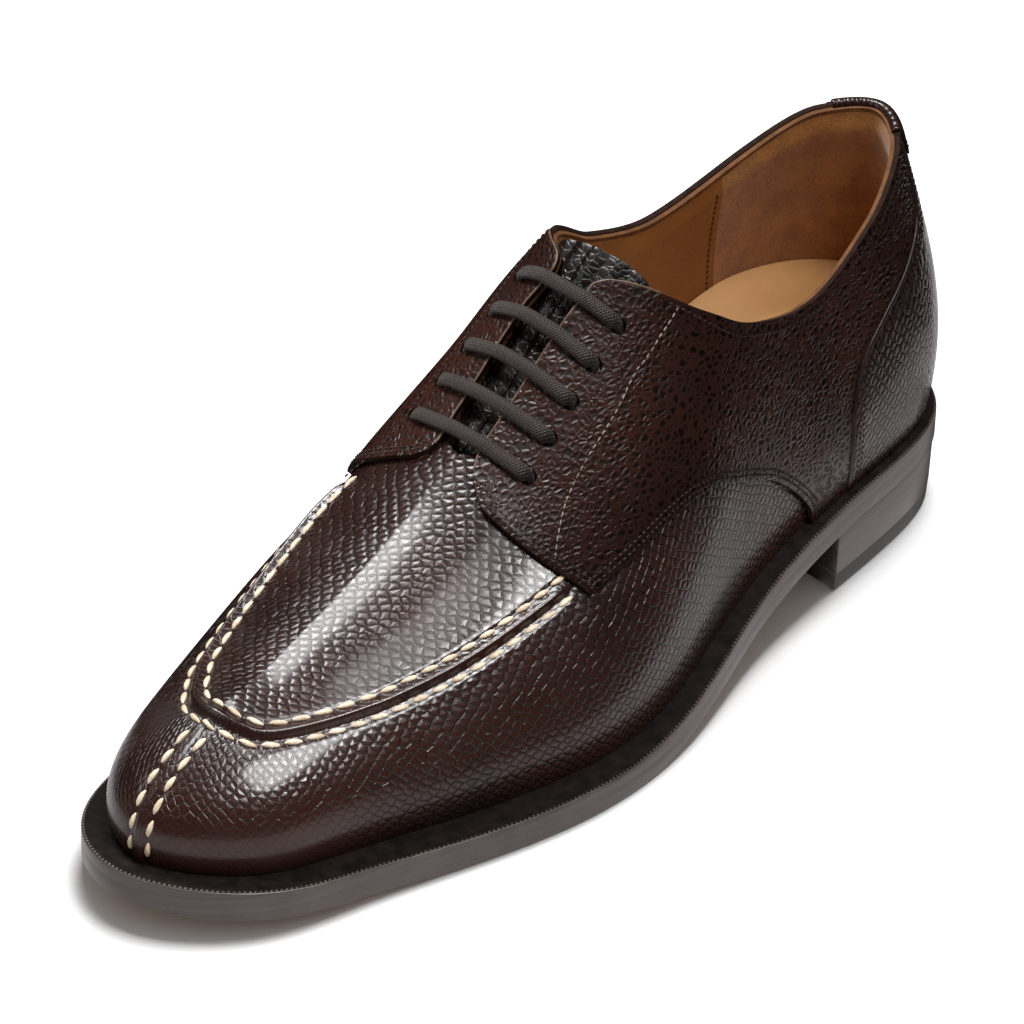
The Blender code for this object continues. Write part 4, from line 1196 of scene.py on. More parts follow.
@dataclass
class Vamp:
    """Front of the upper with the raised apron seam and the split toe."""

    finishes: Finishes
    wall: float = 1.2
    back: float = 0.25
    gather: float = 5.4
    ridge_height: float = 1.35
    toe_height: float = 0.75
    inner_row: float = 2.7
    outer_row: float = -2.9
    toe_row: float = 2.6
    zip_share: float = 0.655
    iron_reach: float = 7.0
    stitch_lift: float = 0.22

    def relief(self, share: Array, level: Array) -> Array:
        """Outward offset of seams and hollows at places of the vamp."""
        slant = LAST.apron_slant(share[:, 0])[:, None]
        away = (level - read(APRON, share)) * LAST.length(share) * slant
        side = self.from_toe(share, level)
        shown = ease((np.abs(share) - 0.606) / 0.02)
        seam = (self.ridge_height * hump(away - 0.15, 1.2) - 0.45 * hump(away + 1.75, 0.6)
                - 0.30 * hump(away - self.outer_row, 0.8) - 0.30 * hump(away - self.inner_row, 0.8)
                + 0.45 * hump(away, 7.0))
        toe = (self.toe_height * hump(side, 1.5) - 0.25 * hump(side, 0.3)
               - 0.30 * hump(side - self.toe_row, 0.8))
        below = ease((-away - 1.2) / 1.5)
        return seam * shown + toe * below

    @staticmethod
    def from_toe(share: Array, level: Array) -> Array:
        """Distance from the split toe's line along the surface, without a sign."""
        return (1.0 - np.abs(share)) * LAST.stretch(share, level)

    def columns(self) -> Array:
        """Shares of the vamp's columns, lateral back to toe to medial back."""
        half = np.concatenate([np.linspace(self.back, 0.60, 36, endpoint=False),
                               np.linspace(0.60, 0.80, 44, endpoint=False),
                               np.linspace(0.80, 0.97, 66, endpoint=False), np.linspace(0.97, 1.0, 34)])
        return both_sides(half)

    def build(self) -> None:
        """Lay the vamp, zip it along the instep and give it thickness."""
        share = self.columns()
        length = LAST.length(share)
        ridge = read(APRON, share)
        crown = LAST.top_level(SLOT, share)
        hidden = 1.0 - ease((np.abs(share) - 0.60) / 0.03)
        crown = crown - hidden * 6.0 / length
        half = self.gather / length
        low = np.linspace(0.0, 1.0, 23)[:-1]
        mid = np.linspace(-1.0, 1.0, 37)
        top = np.linspace(0.0, 1.0, 24)[1:]
        foot = -0.3 / length
        rows = [foot + (ridge - half - foot) * part for part in low]
        rows += [ridge + half * part for part in mid]
        rows += [ridge + half + (crown - ridge - half) * part for part in top]
        level = np.stack(rows, axis=1)
        shares = np.repeat(share[:, None], level.shape[1], axis=1)
        points, normals = LAST.frame(shares, level)
        points = points + normals * self.relief(shares, level)[..., None]
        count = len(share)
        for index in range(count // 2):
            if abs(share[index]) >= self.zip_share:
                twin = count - 1 - index
                meet = (points[index, -1] + points[twin, -1]) / 2.0
                points[index, -1] = meet
                points[twin, -1] = meet
        grid = points.transpose(1, 0, 2)
        thing = Workshop.sheet("vamp", grid)
        self.map_grain(thing, grid, shares.T, level.T, len(low) + len(mid) // 2)
        Workshop.merge(thing)
        self.iron(thing)
        Workshop.apply(thing, "SOLIDIFY", thickness=self.wall * MM, offset=-1.0)
        Workshop.smooth(thing, 60.0)
        Workshop.dress(thing, self.finishes.vamp)
        Workshop.settle(thing, "upper_leather", "upper")

    def iron(self, thing: Thing) -> None:
        """Smooth the spot above the toe where the instep's columns run together."""
        spot = LAST.place(LAST.surface(np.array([1.0]), np.array([1.0]), np.array([0.0])))[0]
        near = np.linalg.norm(Workshop.spots(thing) - spot, axis=1) < self.iron_reach * MM
        group = thing.vertex_groups.new(name="apex")
        group.add(np.flatnonzero(near).tolist(), 1.0, "REPLACE")
        Workshop.apply(thing, "SMOOTH", factor=0.5, iterations=20, vertex_group="apex")

    def map_grain(self, thing: Thing, grid: Array, shares: Array, levels: Array,
                  ridge_row: int) -> None:
        """Write the grain's map in millimetres and the polish.

        Args:
            thing: The vamp's sheet, its faces in order of rows.
            grid: Points of its rows and columns.
            shares: Shares of the points.
            levels: Levels of the points.
            ridge_row: Row on top of the apron seam.
        """
        rows, columns = shares.shape
        length = LAST.length(shares[0])
        around = np.sign(shares) * (1.0 - np.abs(shares)) * ROUND
        side = np.stack([around, levels * length[None, :]], axis=-1).reshape(-1, 2)
        apron = np.stack([grid[..., 0], grid[..., 1] * 1.12], axis=-1).reshape(-1, 2)
        mesh = thing.data
        home = np.empty(len(mesh.loops), dtype=np.int32)
        mesh.loops.foreach_get("vertex_index", home)
        face_row = np.repeat(np.arange((rows - 1) * (columns - 1)) // (columns - 1), 4)
        chosen = np.where((face_row >= ridge_row)[:, None], apron[home], side[home])
        mesh.uv_layers.active.data.foreach_set("uv", chosen.ravel())
        slant = LAST.apron_slant(shares[0])[None, :]
        away = (levels - read(APRON, shares)) * length[None, :] * slant
        from_toe = self.from_toe(shares, levels)
        polish = 0.85 * hump(away, 1.9) + 0.6 * hump(from_toe, 1.6) * ease((-away - 1.0) / 2.0)
        above = levels * length[None, :]
        low = 0.92 * (1.0 - ease((above - 9.0) / 14.0)) * ease((np.abs(shares) - 0.72) / 0.14)
        Workshop.paint(thing, "polish", np.clip(np.maximum(polish, low), 0.0, 1.0).ravel())

    def sew(self) -> None:
        """Sew the cream rows of the apron and the split toe."""
        cream = Stitcher("apron_stitches", CREAM_STITCH)
        half = np.concatenate([np.linspace(0.61, 0.8, 200, endpoint=False), np.linspace(0.8, 1.0, 300)])
        share = both_sides(half)
        for away in (self.inner_row, self.outer_row):
            level = read(APRON, share) + away / (LAST.length(share) * LAST.apron_slant(share))
            lift = self.relief(share[:, None], level[:, None])[:, 0]
            cream.row(share, level, lift + self.stitch_lift)
        for side in (1.0, -1.0):
            level = np.linspace(0.02, 0.765 - self.gather / LAST.length(np.array([1.0]))[0], 120)
            reach = LAST.stretch(np.full(len(level), side), level)
            share = side * (1.0 - self.toe_row / reach)
            lift = self.relief(share[:, None], level[:, None])[:, 0]
            cream.row(share, level, lift + self.stitch_lift)
        cream.finish(self.finishes.cream, "upper_leather")


@dataclass
class Quarter:
    """One quarter with its facing, punched eyelets and tonal rows."""

    finishes: Finishes
    name: str
    side: float
    inner: float = 0.4
    thick: float = 1.5
    rows: int = 64
    columns: int = 132
    eyelet: float = 2.25
    edge_rows: tuple = (1.5, 2.9)
    collar_row: float = 2.6

    def edges(self) -> tuple[list, list, list]:
        """Tables of this side's upper edge, lower edge and front edge."""
        if self.side > 0:
            return FACING_LATERAL, QUARTER_LOW, QUARTER_FRONT
        return FACING_MEDIAL, QUARTER_LOW[:-2] + QUARTER_LOW_MEDIAL, QUARTER_FRONT_MEDIAL

    def patch(self) -> tuple[Array, Array]:
        """Shares without their sign and levels of the quarter's grid, back to front."""
        facing, low_edge, front = self.edges()
        low = np.asarray(low_edge, float)
        leg = np.concatenate([[0.0], np.cumsum(np.hypot(np.diff(low[:, 0]) * 3.0, np.diff(low[:, 1])))])
        leg /= leg[-1]
        walk = np.linspace(0.0, 1.0, self.columns)
        climb = np.linspace(0.0, 1.0, self.rows)
        bottom = track(np.concatenate([leg[:, None], low], axis=1), walk)
        top_share = COUNTER_EDGE[-1][1] + 0.002 + (facing[-1][0] - COUNTER_EDGE[-1][1] - 0.002) * walk
        top_level = LAST.down(top_share * self.side, read(facing, top_share))
        front_level = front[0][0] + climb * (top_level[-1] - front[0][0])
        front_share = read(front, front_level)
        front_share[-1] = top_share[-1]
        back_level = climb * top_level[0]
        back_share = read(COUNTER_EDGE, back_level) + 0.002
        back_share[-1] = top_share[0]
        bottom[0] = (back_share[0], back_level[0])
        result = []
        for low_edge, top_edge, back_edge, front_edge in (
                (bottom[:, 0], top_share, back_share, front_share),
                (bottom[:, 1], top_level, back_level, front_level)):
            across = (1.0 - walk)[None, :] * back_edge[:, None] + walk[None, :] * front_edge[:, None]
            along = (1.0 - climb)[:, None] * low_edge[None, :] + climb[:, None] * top_edge[None, :]
            corner = ((1.0 - climb)[:, None] * ((1.0 - walk) * low_edge[0] + walk * low_edge[-1])[None, :]
                      + climb[:, None] * ((1.0 - walk) * top_edge[0] + walk * top_edge[-1])[None, :])
            result.append(across + along - corner)
        return result[0], result[1]

    def build(self) -> None:
        """Lay the quarter, thicken it, round its edges and punch its eyelets."""
        shares, levels = self.patch()
        if self.side < 0:
            shares = -shares[:, ::-1]
            levels = levels[:, ::-1]
        points = LAST.surface(shares, levels, self.inner + self.thick)
        thing = Workshop.sheet(self.name, points)
        away = (1.0 - levels) * LAST.length(shares)
        near = (1.0 - ease((away - 18.0) / 14.0)) * ease((np.abs(shares) - 0.47) / 0.05)
        Workshop.paint(thing, "facing", near.ravel())
        Workshop.dress(thing, self.finishes.quarter, self.finishes.cut_edge)
        Workshop.thicken(thing, self.thick)
        Workshop.round_edges(thing, 0.4, 2)
        self.punch(thing)
        Workshop.smooth(thing, 50.0)
        node = "quarter_lateral" if self.side > 0 else "quarter_medial"
        Workshop.settle(thing, "upper_leather", node)

    def punch(self, thing: Thing) -> None:
        """Cut the five eyelets through the facing."""
        punches = []
        for bar in LACE_BARS:
            share, away = bar[1:3] if self.side > 0 else bar[3:5]
            value = np.array([self.side * share])
            spot, normal = LAST.frame(value, LAST.down(value, away))
            Workshop.begin()
            bpy.ops.mesh.primitive_cylinder_add(vertices=20, radius=self.eyelet * MM, depth=8.0 * MM)
            punch = bpy.context.object
            way = Vector((normal[0, 0], -normal[0, 1], normal[0, 2]))
            turn = way.to_track_quat("Z", "Y").to_matrix().to_4x4()
            punch.data.transform(Matrix.Translation(Vector(LAST.place(spot)[0])) @ turn)
            punches.append(punch)
        Workshop.begin()
        for punch in punches:
            punch.select_set(True)
        bpy.context.view_layer.objects.active = punches[0]
        bpy.ops.object.join()
        punch = bpy.context.object
        punch.data.materials.clear()
        Workshop.apply(thing, "BOOLEAN", operation="DIFFERENCE", solver="EXACT", use_self=True, object=punch)
        Workshop.discard(punch)

    def build_bead(self) -> None:
        """Lay the pale edge of the facing along its cut."""
        facing = self.edges()[0]
        share = np.linspace(0.44, facing[-1][0] - 0.004, 140)
        level = LAST.down(share * self.side, read(facing, share))
        points, normals = LAST.frame(share * self.side, level)
        path = points + normals * (self.inner + self.thick - 0.15)
        thing = Tube(self.name + "_bead", path, normals, 0.7, 0.5, 8).build()
        # The bead's pale colour is partly a painted highlight along the facing's cut
        Workshop.dress(thing, self.finishes.pale_edge_and_highlight)
        Workshop.settle(thing, "upper_leather")

    def sew(self, rows: Stitcher, facing_rows: Stitcher) -> None:
        """Sew the tonal rows along front, arch and collar, and the row of the facing.

        Args:
            rows: Stitcher that takes the tonal rows.
            facing_rows: Stitcher that takes the lateral facing's pale row.
        """
        lift = self.inner + self.thick + 0.08
        walk = np.linspace(0.0, 1.0, 400)
        shares, levels = self.patch()
        low = np.stack([shares[0], levels[0]], axis=1)
        front = np.stack([shares[:, -1], levels[:, -1]], axis=1)
        edge = np.concatenate([low[8:], front[1:]])
        points, normals = LAST.frame(edge[:, 0] * self.side, edge[:, 1])
        arc = arc_length(points)
        spots = walk * arc[-1]
        outs = unit(along_path(spots, arc, normals))
        ways = unit(np.gradient(along_path(spots, arc, points), axis=0))
        inward = np.cross(outs, ways) * self.side
        edge_share = np.interp(spots, arc, edge[:, 0]) * self.side
        edge_level = np.interp(spots, arc, edge[:, 1])
        for away in self.edge_rows:
            share, level = LAST.shift(edge_share, edge_level, inward * away)
            rows.row(share, level, lift)
        share = np.linspace(FACING_ROW[0][0], FACING_ROW[-1][0], 200)
        chosen = facing_rows if self.side > 0 else rows
        chosen.row(share * self.side, read(FACING_ROW, share), lift)
        collar = np.linspace(0.085, 0.44, 200)
        rows.row(collar * self.side, LAST.down(collar * self.side, self.collar_row), lift)


@dataclass
class Counter:
    """Counter over the heel with its piped edge, and the tab over the top of the back."""

    finishes: Finishes
    inner: float = 0.4
    thick: float = 1.9
    tab_share: float = 0.062
    tab_height: float = 8.0
    tab_thick: float = 0.9
    bead: float = 1.5
    rows_behind: tuple = (2.2, 3.6)

    def edge(self, level: Array) -> Array:
        """Share of the counter's front edge."""
        return read(COUNTER_EDGE, level) - 0.001

    def build(self) -> None:
        """Lay the counter, its piping and the tab."""
        climb = np.concatenate([np.linspace(0.0, 0.5, 40, endpoint=False), np.linspace(0.5, 1.0, 70)])
        walk = np.linspace(-1.0, 1.0, 90)
        shares = self.edge(climb)[:, None] * walk[None, :]
        levels = np.repeat(climb[:, None], len(walk), axis=1)
        points = LAST.surface(shares, levels, self.inner + self.thick)
        thing = Workshop.sheet("counter_panel", points)
        length = LAST.length(shares[0])
        flat = np.stack([shares * ROUND, levels * length[None, :]], axis=-1).reshape(-1, 2)
        Workshop.paint_uv(thing, flat)
        Workshop.dress(thing, self.finishes.counter, self.finishes.cut_edge)
        Workshop.thicken(thing, self.thick)
        Workshop.round_edges(thing, 0.45, 3)
        Workshop.smooth(thing, 50.0)
        Workshop.settle(thing, "upper_leather", "counter")
        self.build_piping()
        self.build_tab()

    def build_piping(self) -> None:
        """Rolled bead along each front edge of the counter."""
        for side, name in ((1.0, "counter_bead_lateral"), (-1.0, "counter_bead_medial")):
            level = np.linspace(0.005, 0.985, 140)
            share = (self.edge(level) + 0.002) * side
            points, normals = LAST.frame(share, level)
            path = points + normals * (self.inner + self.thick - 0.55)
            thing = Tube(name, path, normals, self.bead, self.bead, 8).build()
            Workshop.dress(thing, self.finishes.trim)
            Workshop.settle(thing, "upper_leather")

    def build_tab(self) -> None:
        """Folded tab that binds the top of the back."""
        walk = np.linspace(-1.0, 1.0, 44)
        share = walk * self.tab_share
        length = LAST.length(share)
        outer = self.inner + self.thick + self.tab_thick
        # Height over the rim and place across the wall, from the outside over the top to the inside
        profile = [(-self.tab_height, outer), (-6.0, outer), (-4.0, outer), (-2.0, outer),
                   (-0.6, outer - 0.1), (0.5, outer - 0.5), (1.0, outer - 1.2), (1.1, outer - 2.0),
                   (0.9, outer - 2.8), (0.2, outer - 3.4), (-1.0, outer - 3.7), (-2.0, outer - 3.8)]
        rows = []
        for drop, offset in profile:
            rows.append(LAST.surface(share, 1.0 + drop / length, offset))
        thing = Workshop.sheet("heel_tab", np.array(rows))
        flat = np.stack(np.broadcast_arrays((share * ROUND)[None, :], np.array(profile)[:, :1]), axis=-1)
        Workshop.paint_uv(thing, flat.reshape(-1, 2))
        Workshop.dress(thing, self.finishes.counter, self.finishes.cut_edge)
        Workshop.thicken(thing, self.tab_thick)
        Workshop.apply(thing, "SUBSURF", levels=1, render_levels=1)
        Workshop.smooth(thing, 60.0)
        Workshop.settle(thing, "upper_leather")

    def sew(self, rows: Stitcher) -> None:
        """Sew the double tonal row behind each bead and the row of the tab.

        Args:
            rows: Stitcher that takes the rows.
        """
        lift = self.inner + self.thick - 0.02
        level = np.linspace(0.03, 0.93, 400)
        for side in (1.0, -1.0):
            front = self.edge(level) * side
            points, normals = LAST.frame(front, level)
            ways = unit(np.gradient(points, axis=0))
            back = np.cross(ways, normals) * -side
            for away in self.rows_behind:
                share, height = LAST.shift(front, level, back * away)
                rows.row(share, height, lift)
        share = np.linspace(-self.tab_share + 0.004, self.tab_share - 0.004, 80)
        rows.row(share, LAST.down(share, self.tab_height - 1.6), lift + self.tab_thick)


@dataclass
class Tube:
    """Closed tube along an open path, made from a grid that is rolled up.

    Path and sizes are in millimetres of the shoe: the width goes across the path, the thickness
    along the normals, and ring counts the points round the tube.
    """

    name: str
    path: Array
    normals: Array
    wide: float
    thick: float
    ring: int

    def build(self) -> Thing:
        """Roll the grid up, close its seam and ends.

        Returns:
            The tube, its map in millimetres along and round it.
        """
        ways = unit(np.gradient(self.path, axis=0))
        sides = unit(np.cross(self.normals, ways))
        ups = np.cross(ways, sides)
        angle = np.linspace(0.0, 2.0 * math.pi, self.ring + 1)
        end = np.ones(len(self.path))
        end[0] = 0.02
        end[-1] = 0.02
        end[1] = 0.72
        end[-2] = 0.72
        wide = self.wide / 2.0 * end
        thick = self.thick / 2.0 * end
        points = (self.path[:, None] + sides[:, None] * np.cos(angle)[None, :, None] * wide[:, None, None]
                  + ups[:, None] * np.sin(angle)[None, :, None] * thick[:, None, None])
        points[:, -1] = points[:, 0]
        points[0] = self.path[0]
        points[-1] = self.path[-1]
        thing = Workshop.sheet(self.name, points)
        arc = arc_length(self.path)
        around = angle * (self.wide + self.thick) / 4.0
        flat = np.stack(np.broadcast_arrays(arc[:, None], around[None, :]), axis=-1).reshape(-1, 2)
        Workshop.paint_uv(thing, flat)
        Workshop.merge(thing, outward=True)
        Workshop.smooth(thing, 60.0)
        return thing


@dataclass
class Lining:
    """Lining of the upper: calf in front, suede round the heel, and the insole."""

    finishes: Finishes
    outer: float = -1.35
    rim_outer: float = 0.25
    thick: float = 1.2
    reach: float = 0.64
    suede_share: float = 0.205
    rim: float = 1.5
    cup: float = 3.0

    def build(self) -> None:
        """Lay the lining inside the upper."""
        share = np.linspace(-self.reach, self.reach, 241)
        length = LAST.length(share)
        away = np.where(share > 0, read(FACING_LATERAL, share), read(FACING_MEDIAL, -share))
        crown = 1.0 - (away + 0.25 + 1.0 * ease((np.abs(share) - 0.46) / 0.03)) / length
        climb = np.concatenate([np.linspace(0.0, 0.85, 26, endpoint=False), np.linspace(0.85, 1.0, 26)])
        levels = climb[:, None] * crown[None, :]
        shares = np.repeat(share[None, :], len(climb), axis=0)
        down = (crown[None, :] - levels) * length[None, :]
        offset = self.outer + (self.rim_outer - self.outer) * (1.0 - ease((down - 1.0) / 6.0))
        points = LAST.surface(shares, levels, offset)
        thing = Workshop.sheet("lining", points)
        Workshop.dress(thing, self.finishes.lining, self.finishes.lining_edge, self.finishes.suede)
        middle = np.abs(shares[:-1, :-1] + shares[1:, 1:]) / 2.0
        depth = (down[:-1, :-1] + down[1:, 1:]) / 2.0
        inside = (middle < self.suede_share) & (depth > self.rim)
        Workshop.choose(thing, np.where(inside, 2, np.where(depth < self.rim, 1, 0)))
        Workshop.apply(thing, "SOLIDIFY", thickness=self.thick * MM, offset=-1.0)
        Workshop.smooth(thing, 60.0)
        Workshop.settle(thing, "insole_leather")
        seam = Stitcher("lining_seam_stitches", FINE_STITCH)
        level = np.linspace(0.2, 0.93, 200)
        for side in (1.0, -1.0):
            value = np.full(len(level), side * (self.suede_share + 0.006))
            points, normals = LAST.frame(value, level)
            seam.sew(points + normals * (self.outer - self.thick - 0.06), -normals)
        seam.finish(self.finishes.tonal, "insole_leather")

    def build_insole(self) -> None:
        """Cupped insole that meets the lining all round."""
        half = np.linspace(0.0, 1.0, 151)
        share = np.concatenate([half, -half[-2:0:-1]])
        levels = np.linspace(0.0, 0.8, 41)
        shares = np.repeat(share[:, None], len(levels), axis=1)
        inner = self.outer - self.thick - 0.1
        wall = LAST.surface(shares, np.repeat(levels[None, :], len(share), axis=0), inner)
        over = wall[..., 2] - read(INSOLE_TOP, wall[..., 1]) - self.cup * self.heel_part(wall[..., 1])
        meet = np.array([np.interp(0.0, row, levels) for row in over])
        rim = LAST.surface(share, meet, inner)
        spine = np.stack([np.interp(rim[:, 1], [20.0, 150.0, 280.0], [-2.0, 1.5, -4.0]),
                          np.clip(rim[:, 1], 38.0, 255.0), np.zeros(len(rim))], axis=1)
        rings = []
        underside = ((0.0, 3.0), (0.5, 3.0), (0.97, 3.0), (1.0, 1.5), (1.0, 0.4))
        upside = (0.985, 0.95, 0.88, 0.78, 0.64, 0.46, 0.24, 0.0)
        for part, drop in underside + tuple((part, 0.0) for part in upside):
            plan = spine + (rim - spine) * part
            lift = self.cup * self.heel_part(plan[:, 1]) * part ** 3
            height = read(INSOLE_TOP, plan[:, 1]) + lift - drop
            rings.append(np.stack([plan[:, 0], plan[:, 1], height], axis=1))
        rings = np.array(rings)
        rings = np.concatenate([rings, rings[:, :1]], axis=1)
        thing = Workshop.sheet("insole_sock", rings)
        Workshop.merge(thing, 0.00005, outward=True)
        Workshop.smooth(thing, 50.0)
        Workshop.dress(thing, self.finishes.insole)
        Workshop.settle(thing, "insole_leather", "insole")

    @staticmethod
    def heel_part(from_heel: Array) -> Array:
        """1 at the heel seat, fading to 0 at the waist."""
        return 1.0 - ease((from_heel - 70.0) / 70.0)


@dataclass
class Tongue:
    """Tongue below the lacing, with its stitched top edge."""

    finishes: Finishes
    drop: float = 4.0
    thick: float = 1.9
    base: float = 0.525
    rise: float = 16.5
    lateral: float = 25.0
    medial: float = 23.0

    def lay(self) -> tuple[Array, Array]:
        """Points and normals of the tongue's outer side, bottom row first."""
        walk = np.linspace(-1.0, 1.0, 71)
        across = np.where(walk >= 0, walk * self.lateral, walk * self.medial)
        way = np.array([0.0, -0.761, 0.649])
        share = np.linspace(0.72, self.base, 46)
        signed = np.where(across >= 0, 1.0, -1.0)[None, :] * share[:, None]
        narrow = np.interp(share, [self.base, 0.72], [1.0, 0.9])[:, None]
        level = 1.0 - np.abs(across)[None, :] * narrow / LAST.length(signed)
        points, normals = LAST.frame(signed, level)
        crease = np.sin(across[None, :] * 0.75 + 1.3 * np.sin(share * 60.0)[:, None])
        points = points - normals * (self.drop - 0.25 * crease)[..., None]
        foot = points[-1]
        middle = foot[len(walk) // 2]
        reach = self.rise - (foot - middle) @ way - 4.0 * np.abs(walk) ** 4
        part = np.linspace(0.0, 1.0, 26)[1:]
        above = foot[None, :] + way * (part[:, None] * reach[None, :])[..., None]
        bow = 1.6 * part[:, None] * (1.0 - part[:, None])
        above = above + normals[-1][None, :] * bow[..., None]
        return (np.concatenate([points, above]),
                np.concatenate([normals, np.repeat(normals[-1][None, :], len(part), axis=0)]))

    def build(self) -> None:
        """Lay the tongue, round its edge and sew its top."""
        points, normals = self.lay()
        thing = Workshop.sheet("tongue_sheet", points)
        Workshop.dress(thing, self.finishes.tongue, self.finishes.cut_edge)
        Workshop.thicken(thing, self.thick)
        Workshop.round_edges(thing, 0.5, 3)
        Workshop.smooth(thing, 50.0)
        Workshop.settle(thing, "tongue_leather", "tongue")
        row = Stitcher("tongue_stitches", FINE_STITCH)
        top = points[-1] - points[-5]
        down = points[-1] - unit(top) * 4.0
        row.sew(down[4:-4] + normals[-1][4:-4] * 0.1, normals[-1][4:-4])
        row.finish(self.finishes.dark_thread, "tongue_leather")


@dataclass
class Lacing:
    """Five straight bars of the lace, each down through its eyelets."""

    finishes: Finishes
    wide: float = 3.9
    thick: float = 2.0
    lift: float = 3.0

    def build(self) -> None:
        """Run each bar from eyelet to eyelet."""
        past = np.array([0.6, 0.4, -0.3, -1.8])
        rise = np.concatenate([[-2.6, -0.6, 1.4, 2.6], np.full(4, self.lift)])
        for number, bar in enumerate(LACE_BARS):
            halves = []
            ways = []
            for side, eyelet, reach in ((1, bar[1], bar[2]), (-1, bar[3], bar[4])):
                away = np.concatenate([reach + past, np.linspace(reach - 4.0, 6.0, 4)])[::side]
                value = side * (bar[0] + (eyelet - bar[0]) * away / reach)
                points, normals = LAST.frame(value, LAST.down(value, away))
                halves.append(points + normals * rise[::side][:, None])
                ways.append(normals)
            path = np.concatenate(halves)
            normals = np.concatenate(ways)
            arc = arc_length(path)
            spots = np.linspace(0.0, arc[-1], 90)
            table = np.concatenate([arc[:, None], path, normals], axis=1)
            smooth = track(table, spots)
            middle = unit(smooth[:, 3:].mean(axis=0))
            ups = np.repeat(middle[None, :], len(spots), axis=0)
            thing = Tube("lace_%d" % (number + 1), smooth[:, :3], ups, self.wide, self.thick, 18).build()
            Workshop.dress(thing, self.finishes.lace)
            Workshop.settle(thing, "lace", "lace_bar_%d" % (number + 1))


